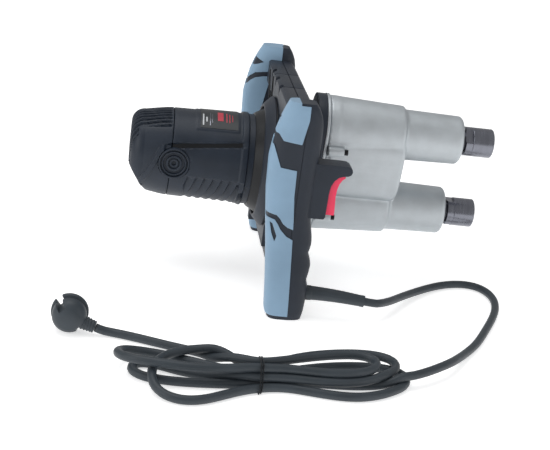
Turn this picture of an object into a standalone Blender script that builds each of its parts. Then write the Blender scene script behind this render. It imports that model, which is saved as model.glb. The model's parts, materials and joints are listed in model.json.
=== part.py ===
"""Twin-spindle mixing machine without its paddles: motor, ring handle, gearbox, spindles, cord and plug.

Metres, +Z up. X runs along the tool from the motor's rear cap to the spindle noses, Y across the two
grips. The machine stands on the lower ends of its grips, and the origin is under the middle of its box.
"""

import math

import bmesh
import bpy
from mathutils import Matrix, Vector

# ---- driving dimensions -------------------------------------------------------------------------

GRIP_SPACING = 0.286       # between the middles of the grips
AXIS_HEIGHT = 0.132        # motor axis above the floor
SEAM_X = -0.0323           # plane in which the two halves of the handle meet
SPINDLE_SPACING = 0.099    # between the two spindle axes
SPINDLE_TURN = math.radians(-15.3)   # the spindle plane leans toward the trigger at its top
SPINDLE_OFFSET = 0.009     # spindle plane behind the motor axis
CORD_DIAMETER = 0.009
GAP = 0.0003               # between pieces that touch

# ---- places along X, from the seam ---------------------------------------------------------------

CAP_END = -0.178
CAP_SPLIT = -0.1312
MOTOR_FRONT = 0.018
SHIELD_FRONT = 0.0402
COVER_FRONT = 0.044
STEP_X = 0.134             # thick lobes end, spindle tubes start
TUBE_END = 0.204
NOSE_END = 0.2426
NOSE_START = 0.2085

# ---- radii ---------------------------------------------------------------------------------------

MOTOR_REAR_R = 0.0500
MOTOR_FRONT_R = 0.0525
MOTOR_WALL = 0.0035
HUB_R = 0.078
MOTOR_HOLE_R = MOTOR_FRONT_R + GAP
LOBE_R = 0.0365
LOBE_STEP_R = 0.0330
MIDDLE_LOBE_R = 0.0325
TUBE_ROOT_R = 0.0298
TUBE_TIP_R = 0.0282
TUBE_BORE_R = 0.0190
GEAR_CAVITY_R = 0.0285
SPINDLE_R = 0.0100
NOSE_R = 0.0166
NOSE_FLATS = 0.0300
SOCKET_R = 0.0069          # tapping size of the M14 socket, its thread left out
SOCKET_DEPTH = 0.026

# ---- gears ---------------------------------------------------------------------------------------

FINE_MODULE = 0.001        # motor pinion and input gear
COARSE_MODULE = 0.0015     # transfer and spindle gears
PINION_TEETH = 6
INPUT_TEETH = 33
TRANSFER_TEETH = 26
LAYSHAFT_TEETH = 8
SPINDLE_TEETH = 35

# ---- grips: height, rear face and front face from the seam, half thickness ----------------------------

GRIP_STATIONS = (
    (0.000, -0.0130, 0.0245, 0.0150),
    (0.006, -0.0160, 0.0262, 0.0165),
    (0.040, -0.0190, 0.0258, 0.0170),
    (0.080, -0.0235, 0.0232, 0.0172),
    (0.110, -0.0275, 0.0190, 0.0172),
    (0.145, -0.0315, 0.0182, 0.0172),
    (0.180, -0.0330, 0.0182, 0.0172),
    (0.205, -0.0300, 0.0190, 0.0172),
    (0.224, -0.0240, 0.0190, 0.0165),
    (0.236, -0.0205, 0.0140, 0.0145),
    (0.241, -0.0180, 0.0090, 0.0110),
)
FAR_GRIP_DEPTH = 1.25      # the far grip's rear face stands further back than the near one's
GRIP_SIDES = 20
PANEL_THICKNESS = 0.0024

COLLECTION = "twin_spindle_mixer"
ROUND = 24

PARTS = None
CUTTERS = None
MATERIALS = {}

PALETTE = {
    "housing_plastic": ((0.030, 0.034, 0.042, 1), 0.55, 0.0),
    "frame_plastic": ((0.045, 0.050, 0.058, 1), 0.60, 0.0),
    "grip_rubber_blue": ((0.36, 0.52, 0.66, 1), 0.65, 0.0),
    "trigger_red": ((0.80, 0.03, 0.09, 1), 0.35, 0.0),
    "cast_aluminium": ((0.62, 0.66, 0.69, 1), 0.45, 1.0),
    "turned_steel": ((0.40, 0.42, 0.45, 1), 0.30, 1.0),
    "gear_steel": ((0.46, 0.46, 0.48, 1), 0.35, 1.0),
    "black_steel": ((0.03, 0.03, 0.03, 1), 0.40, 1.0),
    "copper_wire": ((0.72, 0.32, 0.16, 1), 0.40, 1.0),
    "carbon": ((0.05, 0.05, 0.05, 1), 0.80, 0.0),
    "nickelled_brass": ((0.72, 0.70, 0.66, 1), 0.25, 1.0),
    "label_print": ((0.06, 0.06, 0.065, 1), 0.35, 0.0),
    "cord_rubber": ((0.060, 0.066, 0.075, 1), 0.60, 0.0),
}


# ---- scene and helpers -----------------------------------------------------------------------------


def clear_scene():
    for obj in list(bpy.data.objects):
        bpy.data.objects.remove(obj, do_unlink=True)


def make_collections():
    global PARTS, CUTTERS
    PARTS = bpy.data.collections.new(COLLECTION)
    CUTTERS = bpy.data.collections.new(COLLECTION + "_cutters")
    bpy.context.scene.collection.children.link(PARTS)
    bpy.context.scene.collection.children.link(CUTTERS)


def material(name):
    if name not in MATERIALS:
        colour, roughness, metallic = PALETTE[name]
        mat = bpy.data.materials.new(name)
        mat.use_nodes = True
        shader = mat.node_tree.nodes["Principled BSDF"]
        shader.inputs["Base Color"].default_value = colour
        shader.inputs["Roughness"].default_value = roughness
        shader.inputs["Metallic"].default_value = metallic
        MATERIALS[name] = mat
    return MATERIALS[name]


def at_seam(x):
    """World X of a place given from the handle's seam."""
    return SEAM_X + x


def new_object(name, data, mat=None, matrix=None):
    obj = bpy.data.objects.new(name, data)
    PARTS.objects.link(obj)
    if mat:
        data.materials.append(material(mat))
    if matrix is not None:
        obj.matrix_world = matrix
    return obj


def as_cutter(obj):
    """A helper shape is left out of the model."""
    PARTS.objects.unlink(obj)
    CUTTERS.objects.link(obj)
    obj.hide_render = True
    obj.display_type = "WIRE"
    return obj


def boolean(obj, other, operation, solver):
    mod = obj.modifiers.new(operation.lower(), "BOOLEAN")
    mod.operation = operation
    mod.solver = solver
    mod.object = as_cutter(other)


def cut(obj, *others, solver="EXACT"):
    for other in others:
        boolean(obj, other, "DIFFERENCE", solver)
    return obj


def join(obj, *others, solver="EXACT"):
    for other in others:
        boolean(obj, other, "UNION", solver)
    return obj


def bevel(obj, width, segments=2, angle=math.radians(40)):
    mod = obj.modifiers.new("bevel", "BEVEL")
    mod.width = width
    mod.segments = segments
    mod.limit_method = "ANGLE"
    mod.angle_limit = angle
    return obj



def along_x(x, y, z, turn=0.0):
    """A frame whose local Z runs along world +X and local X along world -Z, turned about the axis."""
    return Matrix.Translation((x, y, z)) @ Matrix.Rotation(turn, 4, "X") @ Matrix.Rotation(math.pi / 2, 4, "Y")


def along_y(x, y, z, side=1):
    """A frame whose local Z runs along world Y, away from the middle for side 1, toward -Y for side -1."""
    return Matrix.Translation((x, y, z)) @ Matrix.Rotation(-side * math.pi / 2, 4, "X")


def turned(name, profile, mat, matrix, closed=False, steps=ROUND):
    """Screw a profile of (radius, height) about local Z; it runs down its outer side, top to bottom."""
    mesh = bpy.data.meshes.new(name)
    bm = bmesh.new()
    verts = [bm.verts.new((radius, 0.0, height)) for radius, height in profile]
    for a, b in zip(verts, verts[1:]):
        bm.edges.new((a, b))
    if closed:
        bm.edges.new((verts[-1], verts[0]))
    bm.to_mesh(mesh)
    bm.free()
    obj = new_object(name, mesh, mat, matrix)
    mod = obj.modifiers.new("screw", "SCREW")
    mod.axis = "Z"
    mod.angle = 2 * math.pi
    mod.steps = steps
    mod.render_steps = steps
    mod.use_merge_vertices = True
    mod.merge_threshold = 0.00002
    mod.use_smooth_shade = True
    return obj


def shaft_profile(*runs):
    """A solid turned bar: (radius, top, bottom) for each length of it, top to bottom."""
    points = [(0.0, runs[0][1])]
    for radius, top, bottom in runs:
        points += [(radius, top), (radius, bottom)]
    points.append((0.0, runs[-1][2]))
    return points


def ring_profile(outer, inner, top, bottom):
    return [(outer, top), (outer, bottom), (inner, bottom), (inner, top)]


def cylinder(name, radius, top, bottom, mat, matrix, steps=ROUND):
    return turned(name, shaft_profile((radius, top, bottom)), mat, matrix, steps=steps)


def ring(name, outer, inner, top, bottom, mat, matrix, steps=ROUND):
    return turned(name, ring_profile(outer, inner, top, bottom), mat, matrix, closed=True, steps=steps)


def box(name, low, high, mat=None):
    """A box between two corners given from the seam in X."""
    bm = bmesh.new()
    bmesh.ops.create_cube(bm, size=1.0)
    size = [abs(b - a) for a, b in zip(low, high)]
    middle = [(a + b) / 2 for a, b in zip(low, high)]
    bmesh.ops.scale(bm, vec=size, verts=bm.verts)
    mesh = bpy.data.meshes.new(name)
    bm.to_mesh(mesh)
    bm.free()
    return new_object(name, mesh, mat, Matrix.Translation((at_seam(middle[0]), middle[1], middle[2])))


def plate(name, loops, thickness, mat, matrix):
    """A flat outline, with any holes as further loops, given a thickness about its own plane."""
    data = bpy.data.curves.new(name, "CURVE")
    data.dimensions = "2D"
    data.fill_mode = "BOTH"
    data.extrude = thickness / 2
    for loop in loops:
        spline = data.splines.new("POLY")
        spline.points.add(len(loop) - 1)
        for point, (u, v) in zip(spline.points, loop):
            point.co = (u, v, 0.0, 1.0)
        spline.use_cyclic_u = True
    guide = bpy.data.objects.new(name, data)
    PARTS.objects.link(guide)
    guide.matrix_world = matrix
    return to_mesh(guide, mat)


def to_mesh(guide, mat):
    """The mesh of a curve, its loose caps welded, in place of the curve."""
    bpy.context.view_layer.update()
    name = guide.name
    evaluated = guide.evaluated_get(bpy.context.evaluated_depsgraph_get())
    mesh = bpy.data.meshes.new_from_object(evaluated)
    matrix = guide.matrix_world.copy()
    curve = guide.data
    bpy.data.objects.remove(guide, do_unlink=True)
    bpy.data.curves.remove(curve)
    bm = bmesh.new()
    bm.from_mesh(mesh)
    bmesh.ops.remove_doubles(bm, verts=bm.verts, dist=0.00001)
    bm.to_mesh(mesh)
    bm.free()
    mesh.materials.clear()
    return new_object(name, mesh, mat, matrix)


def facing_x(x, y=0.0, z=0.0):
    """A frame whose local X, Y, Z run along world Y, Z, X, for outlines drawn across the tool."""
    return Matrix.Translation((x, y, z)) @ Matrix(((0, 0, 1, 0), (1, 0, 0, 0), (0, 1, 0, 0), (0, 0, 0, 1)))


def facing_y(x, y, z):
    """A frame whose local X, Y, Z run along world X, Z, -Y, for outlines drawn along the tool."""
    return Matrix.Translation((x, y, z)) @ Matrix.Rotation(math.pi / 2, 4, "X")


def slab(name, loops, rear, front, mat):
    """An outline across the tool, from one place to another along X, both given from the seam."""
    return plate(name, loops, front - rear, mat, facing_x(at_seam((rear + front) / 2)))


def tube(name, points, diameter, mat, resolution=2, taper=None):
    """A round bar along points, with filled caps."""
    data = bpy.data.curves.new(name, "CURVE")
    data.dimensions = "3D"
    data.bevel_depth = diameter / 2
    data.bevel_resolution = resolution
    data.use_fill_caps = True
    spline = data.splines.new("POLY")
    spline.points.add(len(points) - 1)
    for n, (point, place) in enumerate(zip(spline.points, points)):
        point.co = (*place, 1.0)
        if taper:
            point.radius = taper[n]
    data.materials.append(material(mat))
    obj = bpy.data.objects.new(name, data)
    PARTS.objects.link(obj)
    return obj


def smooth_route(points, spacing, closed=False):
    """Points at an even spacing along a Catmull-Rom curve through the given points."""
    route = [Vector(p) for p in points]
    count = len(route)
    dense = []
    spans = count if closed else count - 1
    for n in range(spans):
        before = route[(n - 1) % count] if closed or n > 0 else route[0] * 2 - route[1]
        start = route[n]
        end = route[(n + 1) % count]
        after = route[(n + 2) % count] if closed or n + 2 < count else end * 2 - start
        for step in range(12):
            t = step / 12
            dense.append(
                0.5 * ((2 * start) + (end - before) * t + (2 * before - 5 * start + 4 * end - after) * t * t
                       + (3 * start - before - 3 * end + after) * t ** 3)
            )
    dense.append(route[0] if closed else route[-1])
    total = sum((b - a).length for a, b in zip(dense, dense[1:]))
    pieces = max(2, round(total / spacing))
    even = [dense[0]]
    walked = 0.0
    for a, b in zip(dense, dense[1:]):
        span = (b - a).length
        while len(even) < pieces and walked + span >= len(even) * total / pieces:
            part = (len(even) * total / pieces - walked) / span
            even.append(a.lerp(b, part))
        walked += span
    if not closed:
        even.append(dense[-1])
    return even


def loft(name, sections, mat):
    """A closed body through sections that all have the same number of points."""
    bm = bmesh.new()
    rows = [[bm.verts.new(point) for point in section] for section in sections]
    count = len(rows[0])
    for low, high in zip(rows, rows[1:]):
        for n in range(count):
            following = (n + 1) % count
            bm.faces.new((low[n], low[following], high[following], high[n]))
    bm.faces.new(list(reversed(rows[0])))
    bm.faces.new(rows[-1])
    bmesh.ops.recalc_face_normals(bm, faces=bm.faces)
    mesh = bpy.data.meshes.new(name)
    bm.to_mesh(mesh)
    bm.free()
    return new_object(name, mesh, mat)


def arc(middle, radius, start, end, steps):
    """Points of an arc; angles in degrees."""
    points = []
    for n in range(steps + 1):
        angle = math.radians(start + (end - start) * n / steps)
        points.append((middle[0] + radius * math.cos(angle), middle[1] + radius * math.sin(angle)))
    return points


def circle(middle, radius, steps=ROUND):
    return arc(middle, radius, 0, 360 * (steps - 1) / steps, steps - 1)


# ---- gearbox layout ----------------------------------------------------------------------------------


def across(v, w):
    """World (Y, Z) of a place v up along the spindle plane and w behind it, from the motor axis."""
    y = v * math.sin(SPINDLE_TURN) + w * math.cos(SPINDLE_TURN)
    z = AXIS_HEIGHT + v * math.cos(SPINDLE_TURN) - w * math.sin(SPINDLE_TURN)
    return y, z


MOTOR_AXIS = (0.0, AXIS_HEIGHT)
UPPER = across(SPINDLE_SPACING / 2, SPINDLE_OFFSET)
LOWER = across(-SPINDLE_SPACING / 2, SPINDLE_OFFSET)
TRANSFER_R = COARSE_MODULE * TRANSFER_TEETH / 2
STAGE_TWO = COARSE_MODULE * (LAYSHAFT_TEETH + SPINDLE_TEETH) / 2
LAYSHAFT_W = SPINDLE_OFFSET - math.sqrt(STAGE_TWO ** 2 - (SPINDLE_SPACING / 2 - TRANSFER_R) ** 2)
LAY_UPPER = across(TRANSFER_R, LAYSHAFT_W)
LAY_LOWER = across(-TRANSFER_R, LAYSHAFT_W)


def direction(start, end):
    return math.atan2(end[1] - start[1], end[0] - start[0])


def meshing_phase(first, first_teeth, first_phase, second, second_teeth):
    """Angle of a tooth of the second gear that puts its gap on the first gear's tooth."""
    toward = direction(first, second)
    place = (toward - first_phase) * first_teeth / (2 * math.pi)
    share = place - math.floor(place)
    back = toward + math.pi
    return back - (0.5 - share) * 2 * math.pi / second_teeth


def gear_outline(middle, module, teeth, phase):
    """Straight-sided teeth, thinned for backlash, one of them centred on the phase angle."""
    pitch = module * teeth / 2
    root = pitch - 1.15 * module
    tip = pitch + 0.85 * module
    thick = 0.40 * math.pi * module
    slope = math.tan(math.radians(20))
    root_half = min((thick / 2 + (pitch - root) * slope) / root, 0.46 * 2 * math.pi / teeth)
    tip_half = (thick / 2 - (tip - pitch) * slope) / tip
    points = []
    for n in range(teeth):
        angle = phase + 2 * math.pi * n / teeth
        for radius, turn in ((root, -root_half), (tip, -tip_half), (tip, tip_half), (root, root_half)):
            points.append((middle[0] + radius * math.cos(angle + turn), middle[1] + radius * math.sin(angle + turn)))
    return points


PINION_PHASE = 0.0
INPUT_PHASE = meshing_phase(MOTOR_AXIS, PINION_TEETH, PINION_PHASE, LAY_UPPER, INPUT_TEETH)
UPPER_TRANSFER_PHASE = 0.0
LOWER_TRANSFER_PHASE = meshing_phase(LAY_UPPER, TRANSFER_TEETH, UPPER_TRANSFER_PHASE, LAY_LOWER, TRANSFER_TEETH)
LAY_PHASE = 0.0
UPPER_GEAR_PHASE = meshing_phase(LAY_UPPER, LAYSHAFT_TEETH, LAY_PHASE, UPPER, SPINDLE_TEETH)
LOWER_GEAR_PHASE = meshing_phase(LAY_LOWER, LAYSHAFT_TEETH, LAY_PHASE, LOWER, SPINDLE_TEETH)


# ---- motor ---------------------------------------------------------------------------------------------

BRUSH_X = -0.1272
BOSS_R = 0.0165
BOSS_FACE = 0.0500
STACK_REAR = -0.105
STACK_FRONT = -0.045
SHAFT_R = 0.0060


def motor_axis(x=0.0):
    return along_x(at_seam(x), 0.0, AXIS_HEIGHT)


def build_motor_housing():
    wall = MOTOR_WALL
    profile = [
        (MOTOR_FRONT_R, MOTOR_FRONT),
        (MOTOR_FRONT_R, -0.044),
        (MOTOR_FRONT_R + 0.0018, -0.0455),
        (MOTOR_FRONT_R + 0.0018, -0.0520),
        (MOTOR_FRONT_R, -0.0535),
        (MOTOR_REAR_R + 0.0008, CAP_SPLIT + GAP),
        (MOTOR_REAR_R - wall, CAP_SPLIT + GAP),
        (MOTOR_FRONT_R - wall, -0.060),
        (MOTOR_FRONT_R - wall, MOTOR_FRONT),
    ]
    housing = turned("motor_housing", profile, "housing_plastic", motor_axis(), closed=True, steps=32)
    for side in (-1, 1):
        boss = cylinder("brush_boss", BOSS_R, BOSS_FACE, 0.042, None, along_y(at_seam(BRUSH_X), 0, AXIS_HEIGHT, side))
        join(housing, boss, solver="MANIFOLD")
    for side in (-1, 1):
        bore = cylinder("brush_bore", 0.0086, 0.06, 0.03, None, along_y(at_seam(BRUSH_X), 0, AXIS_HEIGHT, side))
        cut(housing, bore, solver="MANIFOLD")
    return housing


def build_rear_cap():
    wall = 0.003
    shoulder = arc((MOTOR_REAR_R - 0.015, CAP_END + 0.015), 0.015, 0, -90, 3)
    inside = [(r - wall * 0.75, x + wall) for r, x in reversed(shoulder)]
    profile = [(MOTOR_REAR_R + 0.0008, CAP_SPLIT), (MOTOR_REAR_R - 0.0004, -0.158)]
    profile += shoulder
    profile += [(0.0055, CAP_END), (0.0055, CAP_END + wall), (0.0134, CAP_END + wall)]
    profile += [(0.0134, -0.1480), (0.0170, -0.1480), (0.0170, CAP_END + wall)]
    profile += inside[1:]
    profile += [(MOTOR_REAR_R - wall, CAP_SPLIT)]
    cap = turned("rear_cap", profile, "housing_plastic", motor_axis(), closed=True, steps=32)
    for side in (-1, 1):
        clear = cylinder("boss_clearance", BOSS_R + GAP, 0.060, 0.020, None,
                         along_y(at_seam(BRUSH_X), 0, AXIS_HEIGHT, side))
        cut(cap, clear)
    for n in range(6):
        angle = (n - 2.5) * 0.26
        vent = box("end_vent", (CAP_END - 0.002, -0.0021, 0.024), (CAP_END + 0.009, 0.0021, 0.060))
        shift = Matrix.Translation((0, 0, AXIS_HEIGHT)) @ Matrix.Rotation(angle, 4, "X")
        vent.matrix_world = shift @ vent.matrix_world
        cut(cap, vent)
    return cap


def build_brushes():
    for side, word in ((-1, "near"), (1, "far")):
        frame = along_y(at_seam(BRUSH_X), 0, AXIS_HEIGHT, side)
        cap = cylinder("brush_cap_" + word, 0.0083, 0.0496, 0.0445, "housing_plastic", frame, steps=24)
        slot = box("cap_slot", (BRUSH_X - 0.0070, side * 0.0482, AXIS_HEIGHT - 0.0008),
                   (BRUSH_X + 0.0070, side * 0.0510, AXIS_HEIGHT + 0.0008))
        cut(cap, slot)
        ring("brush_holder_" + word, 0.0072, 0.0056, 0.0440, 0.0180, "nickelled_brass", frame, steps=20)
        box("carbon_brush_" + word, (BRUSH_X - 0.0035, side * 0.0145, AXIS_HEIGHT - 0.0035),
            (BRUSH_X + 0.0035, side * 0.0330, AXIS_HEIGHT + 0.0035), "carbon")


def build_stator():
    bore = []
    for n in range(48):
        angle = 2 * math.pi * n / 48
        in_slot = abs(math.cos(angle)) < 0.60
        radius = 0.0385 if in_slot else 0.0282
        bore.append((radius * math.cos(angle), AXIS_HEIGHT + radius * math.sin(angle)))
    outer = circle(MOTOR_AXIS, 0.0458, 40)
    slab("stator_core", [outer, bore], STACK_REAR, STACK_FRONT, "gear_steel")
    for sign, word in ((1, "upper"), (-1, "lower")):
        outline = arc((0, 0), 0.0375, 64, 116, 4) + list(reversed(arc((0, 0), 0.0292, 61, 119, 4)))
        outline = [(y, AXIS_HEIGHT + sign * z) for y, z in outline]
        slab("field_coil_" + word, [outline], STACK_REAR - 0.007, STACK_FRONT + 0.007, "copper_wire")


def build_rotor():
    runs = [
        (0.0018, 0.0546, 0.0455),
        (0.0048, 0.0455, 0.0232),
        (SHAFT_R, 0.0232, -0.1480),
        (0.0048, -0.1480, -0.1600),
    ]
    shaft = turned("rotor_shaft", shaft_profile(*runs), "gear_steel", motor_axis(), steps=20)
    teeth = gear_outline(MOTOR_AXIS, FINE_MODULE, PINION_TEETH, PINION_PHASE)
    join(shaft, slab("motor_pinion_teeth", [teeth], 0.0462, 0.0542, None))
    slots = []
    for n in range(12):
        angle = 2 * math.pi * n / 12
        for radius, turn in ((0.0272, -0.20), (0.0272, 0.0), (0.0272, 0.19), (0.0225, 0.225), (0.0225, 0.295)):
            slots.append((radius * math.cos(angle + turn), AXIS_HEIGHT + radius * math.sin(angle + turn)))
    slab("rotor_core", [slots, circle(MOTOR_AXIS, SHAFT_R + GAP, 20)], STACK_REAR, STACK_FRONT, "gear_steel")
    ring("commutator", 0.0140, SHAFT_R + GAP, -0.112, -0.138, "copper_wire", motor_axis(), steps=24)
    ring("rear_bearing", 0.0130, 0.0051, -0.1490, -0.1585, "turned_steel", motor_axis(), steps=20)
    ring("front_bearing", 0.0158, 0.0051, 0.0340, 0.0240, "turned_steel", motor_axis(), steps=20)
    return shaft


def build_fan():
    hub = ring("cooling_fan", 0.0440, SHAFT_R + GAP, -0.0180, -0.0205, "housing_plastic", motor_axis())
    sleeve = ring("fan_sleeve", 0.0100, SHAFT_R + 2 * GAP, -0.0190, -0.0330, None, motor_axis(), steps=16)
    join(hub, sleeve)
    for n in range(7):
        blade = box("fan_blade", (-0.0320, -0.0008, 0.0090), (-0.0200, 0.0008, 0.0430))
        spin = Matrix.Translation((0, 0, AXIS_HEIGHT)) @ Matrix.Rotation(2 * math.pi * n / 7, 4, "X")
        blade.matrix_world = spin @ blade.matrix_world
        join(hub, blade)
    return hub


def build_label():
    """A thin plate bent round the upper near side of the motor."""
    rear, front = -0.107, -0.058
    radius = MOTOR_FRONT_R + 0.0008
    outline = arc((0, 0), radius + 0.0006, 102, 142, 8) + list(reversed(arc((0, 0), radius, 102, 142, 8)))
    outline = [(y, AXIS_HEIGHT + z) for y, z in outline]
    slab("label_plate", [outline], rear, front, "label_print")


# ---- handle ----------------------------------------------------------------------------------------------


def grip_section(station, side, inset_rear=0.0, widen=0.0):
    """One closed section of a grip: a squarish oval whose rear half may be set in for the panel."""
    z, rear, front, half = station
    middle_y = side * GRIP_SPACING / 2
    depth = FAR_GRIP_DEPTH if side > 0 else 1.0
    points = []
    for n in range(GRIP_SIDES):
        angle = 2 * math.pi * n / GRIP_SIDES
        c, s = math.cos(angle), math.sin(angle)
        shape = (abs(c) ** 2.7 + abs(s) ** 2.7) ** (-1 / 2.7)
        reach = front if c > 0 else -rear * depth - inset_rear
        inset = inset_rear if c < -0.01 else 0.0
        x = c * shape * (reach + widen)
        y = middle_y + side * s * shape * (half - inset + widen)
        points.append(Vector((at_seam(x), y, z)))
    return points


def build_half_grip(name, side, front_half):
    """The part of a grip on one side of the seam; the rear one is set in for its soft panel."""
    inset = 0.0 if front_half else PANEL_THICKNESS + GAP
    seam = at_seam(GAP / 2 if front_half else -GAP / 2)
    sections = []
    for station in GRIP_STATIONS:
        points = grip_section(station, side, inset)
        kept = [p for p in points if (p.x > seam + 0.0008) == front_half and abs(p.x - seam) > 0.0008]
        outer_y = max(abs(p.y) for p in points)
        inner_y = min(abs(p.y) for p in points)
        start, end = (inner_y, outer_y) if front_half else (outer_y, inner_y)
        edge = [Vector((seam, side * start, station[0])), Vector((seam, side * end, station[0]))]
        if front_half:
            half = GRIP_SIDES // 4
            kept = kept[-(len(kept) // 2):] + kept[:len(kept) - len(kept) // 2] if len(kept) > half else kept
        sections.append([edge[0]] + kept + [edge[1]])
    return loft(name, sections, None)


def hand_opening(side):
    """The space for the fingers: straight along the grip, round along the hub."""
    hub = arc(MOTOR_AXIS, HUB_R, -57, 60, 10)
    outline = [(0.1375, 0.200), (0.1375, 0.040), (0.0425, 0.040)] + hub + [(0.0390, 0.200)]
    return [(side * y, z) for y, z in outline]


def build_frame_half(name, front_half):
    outer = [(-0.140, 0.016), (0.140, 0.016), (0.140, 0.226), (-0.140, 0.226)]
    loops = [outer, hand_opening(-1), hand_opening(1), circle(MOTOR_AXIS, MOTOR_HOLE_R, 48)]
    rear, front = (GAP, 0.018) if front_half else (-0.016, -GAP)
    frame = slab(name, loops, rear, front, "frame_plastic")
    for side in (-1, 1):
        join(frame, build_half_grip("half_grip", side, front_half), solver="MANIFOLD")
    if front_half:
        cut(frame, box("switch_room", (0.0020, -0.1550, 0.1230), (0.0300, -0.1310, 0.1760)), solver="MANIFOLD")
    return frame


def build_grip_panel(name, side):
    """Soft skin over the outer and rear faces of a grip's motor-side half."""
    bm = bmesh.new()
    rows = []
    first = GRIP_SIDES // 4 + 1
    last = (3 * GRIP_SIDES) // 4 - 1
    for station in GRIP_STATIONS[1:]:
        section = grip_section(station, side)
        rows.append([bm.verts.new(point) for point in section[first:last + 1]])
    for low, high in zip(rows, rows[1:]):
        for n in range(len(low) - 1):
            bm.faces.new((low[n], low[n + 1], high[n + 1], high[n]))
    bmesh.ops.recalc_face_normals(bm, faces=bm.faces)
    outward = bm.faces[0].normal.dot(Vector((0, side, 0)))
    if outward < 0:
        bmesh.ops.reverse_faces(bm, faces=bm.faces)
    mesh = bpy.data.meshes.new(name)
    bm.to_mesh(mesh)
    bm.free()
    panel = new_object(name, mesh, "grip_rubber_blue")
    mod = panel.modifiers.new("solidify", "SOLIDIFY")
    mod.thickness = PANEL_THICKNESS * 0.85
    mod.offset = -1
    for low, high in ((0.0157, 0.0403), (0.1997, 0.2263)):
        cut(panel, box("bridge_room", (-0.0163, side * 0.100, low), (0.0100, side * 0.143, high)))
    return panel


def build_hub_cone():
    profile = [
        (0.0760, -0.0163), (0.0750, -0.0200), (0.0665, -0.0290), (0.0585, -0.0365),
        (0.0550, -0.0370), (0.0550, -0.0340), (0.0620, -0.0275), (0.0710, -0.0163),
    ]
    return turned("hub_cone", profile, "frame_plastic", motor_axis(), closed=True, steps=36)


# ---- switch ------------------------------------------------------------------------------------------------

TRIGGER_TRAVEL = 0.006
TRIGGER_HALF = 0.0085
GRIP_Y = -GRIP_SPACING / 2


def build_trigger_guard():
    outline = [
        (0.0196, 0.1180), (0.0325, 0.1180), (0.0335, 0.1205), (0.0340, 0.1500), (0.0370, 0.1600),
        (0.0420, 0.1662), (0.0500, 0.1668), (0.0550, 0.1695), (0.0560, 0.1740), (0.0540, 0.1790),
        (0.0490, 0.1815), (0.0196, 0.1815),
    ]
    guard = plate("trigger_guard", [outline], 0.026, "frame_plastic", facing_y(at_seam(0), GRIP_Y, 0))
    room = box("trigger_room", (0.0235, GRIP_Y - TRIGGER_HALF - GAP, 0.1205), (0.0600, GRIP_Y + TRIGGER_HALF + GAP, 0.1664))
    hole = cylinder("spring_hole", 0.0042, 0.03, 0.0, None, along_x(at_seam(0), GRIP_Y, 0.140), steps=16)
    return cut(guard, room, hole)


def build_trigger():
    outline = [
        (0.0305, 0.1225), (0.0432, 0.1225), (0.0430, 0.1310), (0.0422, 0.1450), (0.0430, 0.1540),
        (0.0458, 0.1605), (0.0500, 0.1650), (0.0490, 0.1660), (0.0370, 0.1660), (0.0305, 0.1640),
    ]
    trigger = plate("trigger", [outline], 2 * TRIGGER_HALF, "trigger_red", facing_y(at_seam(0), GRIP_Y, 0))
    pocket = cylinder("spring_pocket", 0.0042, 0.0385, 0.0250, None, along_x(at_seam(0), GRIP_Y, 0.140), steps=16)
    return cut(trigger, pocket)


def build_switch():
    box("switch_body", (0.0024, -0.1540, 0.1240), (0.0176, -0.1320, 0.1745), "housing_plastic")
    steps = 5 * 6
    points = []
    for n in range(steps + 1):
        angle = 2 * math.pi * n / 6
        x = at_seam(0.0184 + 0.0136 * n / steps)
        points.append((x, GRIP_Y + 0.0030 * math.cos(angle), 0.140 + 0.0030 * math.sin(angle)))
    tube("trigger_spring", points, 0.0008, "turned_steel", resolution=0)


# ---- gearbox ---------------------------------------------------------------------------------------------------


def lobed_outline(radius, middle_radius):
    """A round-ended outline about both spindles, as wide as the middle lobe or wider between them."""
    upper = [across(SPINDLE_SPACING / 2 + radius * math.cos(t), SPINDLE_OFFSET + radius * math.sin(t))
             for t in [math.radians(a) for a in range(90, -91, -15)]]
    near = across(0.0, -middle_radius)
    lower = [across(-SPINDLE_SPACING / 2 - radius * math.cos(t), SPINDLE_OFFSET - radius * math.sin(t))
             for t in [math.radians(a) for a in range(90, -91, -15)]]
    return upper + [near] + lower


def build_bearing_shield():
    profile = [
        (0.0710, 0.0340), (0.0720, 0.0330), (0.0720, 0.0200), (0.0700, MOTOR_FRONT + GAP),
        (0.0480, MOTOR_FRONT + GAP), (0.0480, 0.0225), (0.0162, 0.0225), (0.0162, 0.0344),
        (0.0075, 0.0344), (0.0075, 0.0400), (0.0710, 0.0400),
    ]
    shield = turned("bearing_shield", profile, "housing_plastic", motor_axis(), closed=True, steps=32)
    flare = slab("shield_flare", [lobed_outline(LOBE_R + 0.0015, 0.0390)], 0.0365, SHIELD_FRONT, None)
    bore = cylinder("shaft_hole", 0.0074, 0.05, 0.03, None, motor_axis())
    join(shield, flare, solver="MANIFOLD")
    cut(shield, bore, solver="MANIFOLD")
    for place in (LAY_UPPER, LAY_LOWER):
        seat = cylinder("layshaft_seat", 0.0043, 0.050, 0.0350, None, along_x(at_seam(0), *place), steps=16)
        cut(shield, seat, solver="MANIFOLD")
    return shield


def build_gearbox_cover():
    holes = [circle(MOTOR_AXIS, 0.0075), circle(LAY_UPPER, 0.0043, 16), circle(LAY_LOWER, 0.0043, 16)]
    outline = lobed_outline(LOBE_R + 0.0020, 0.0395)
    return slab("gearbox_cover", [outline] + holes, SHIELD_FRONT + GAP, COVER_FRONT, "cast_aluminium")


GEAR_ROOM_FRONT = 0.0620
GEAR_POCKET_FRONT = 0.0860
SCREW_PLACES = ((0.041, -0.032), (-0.049, -0.031), (0.030, 0.043), (-0.030, 0.043))


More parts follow.
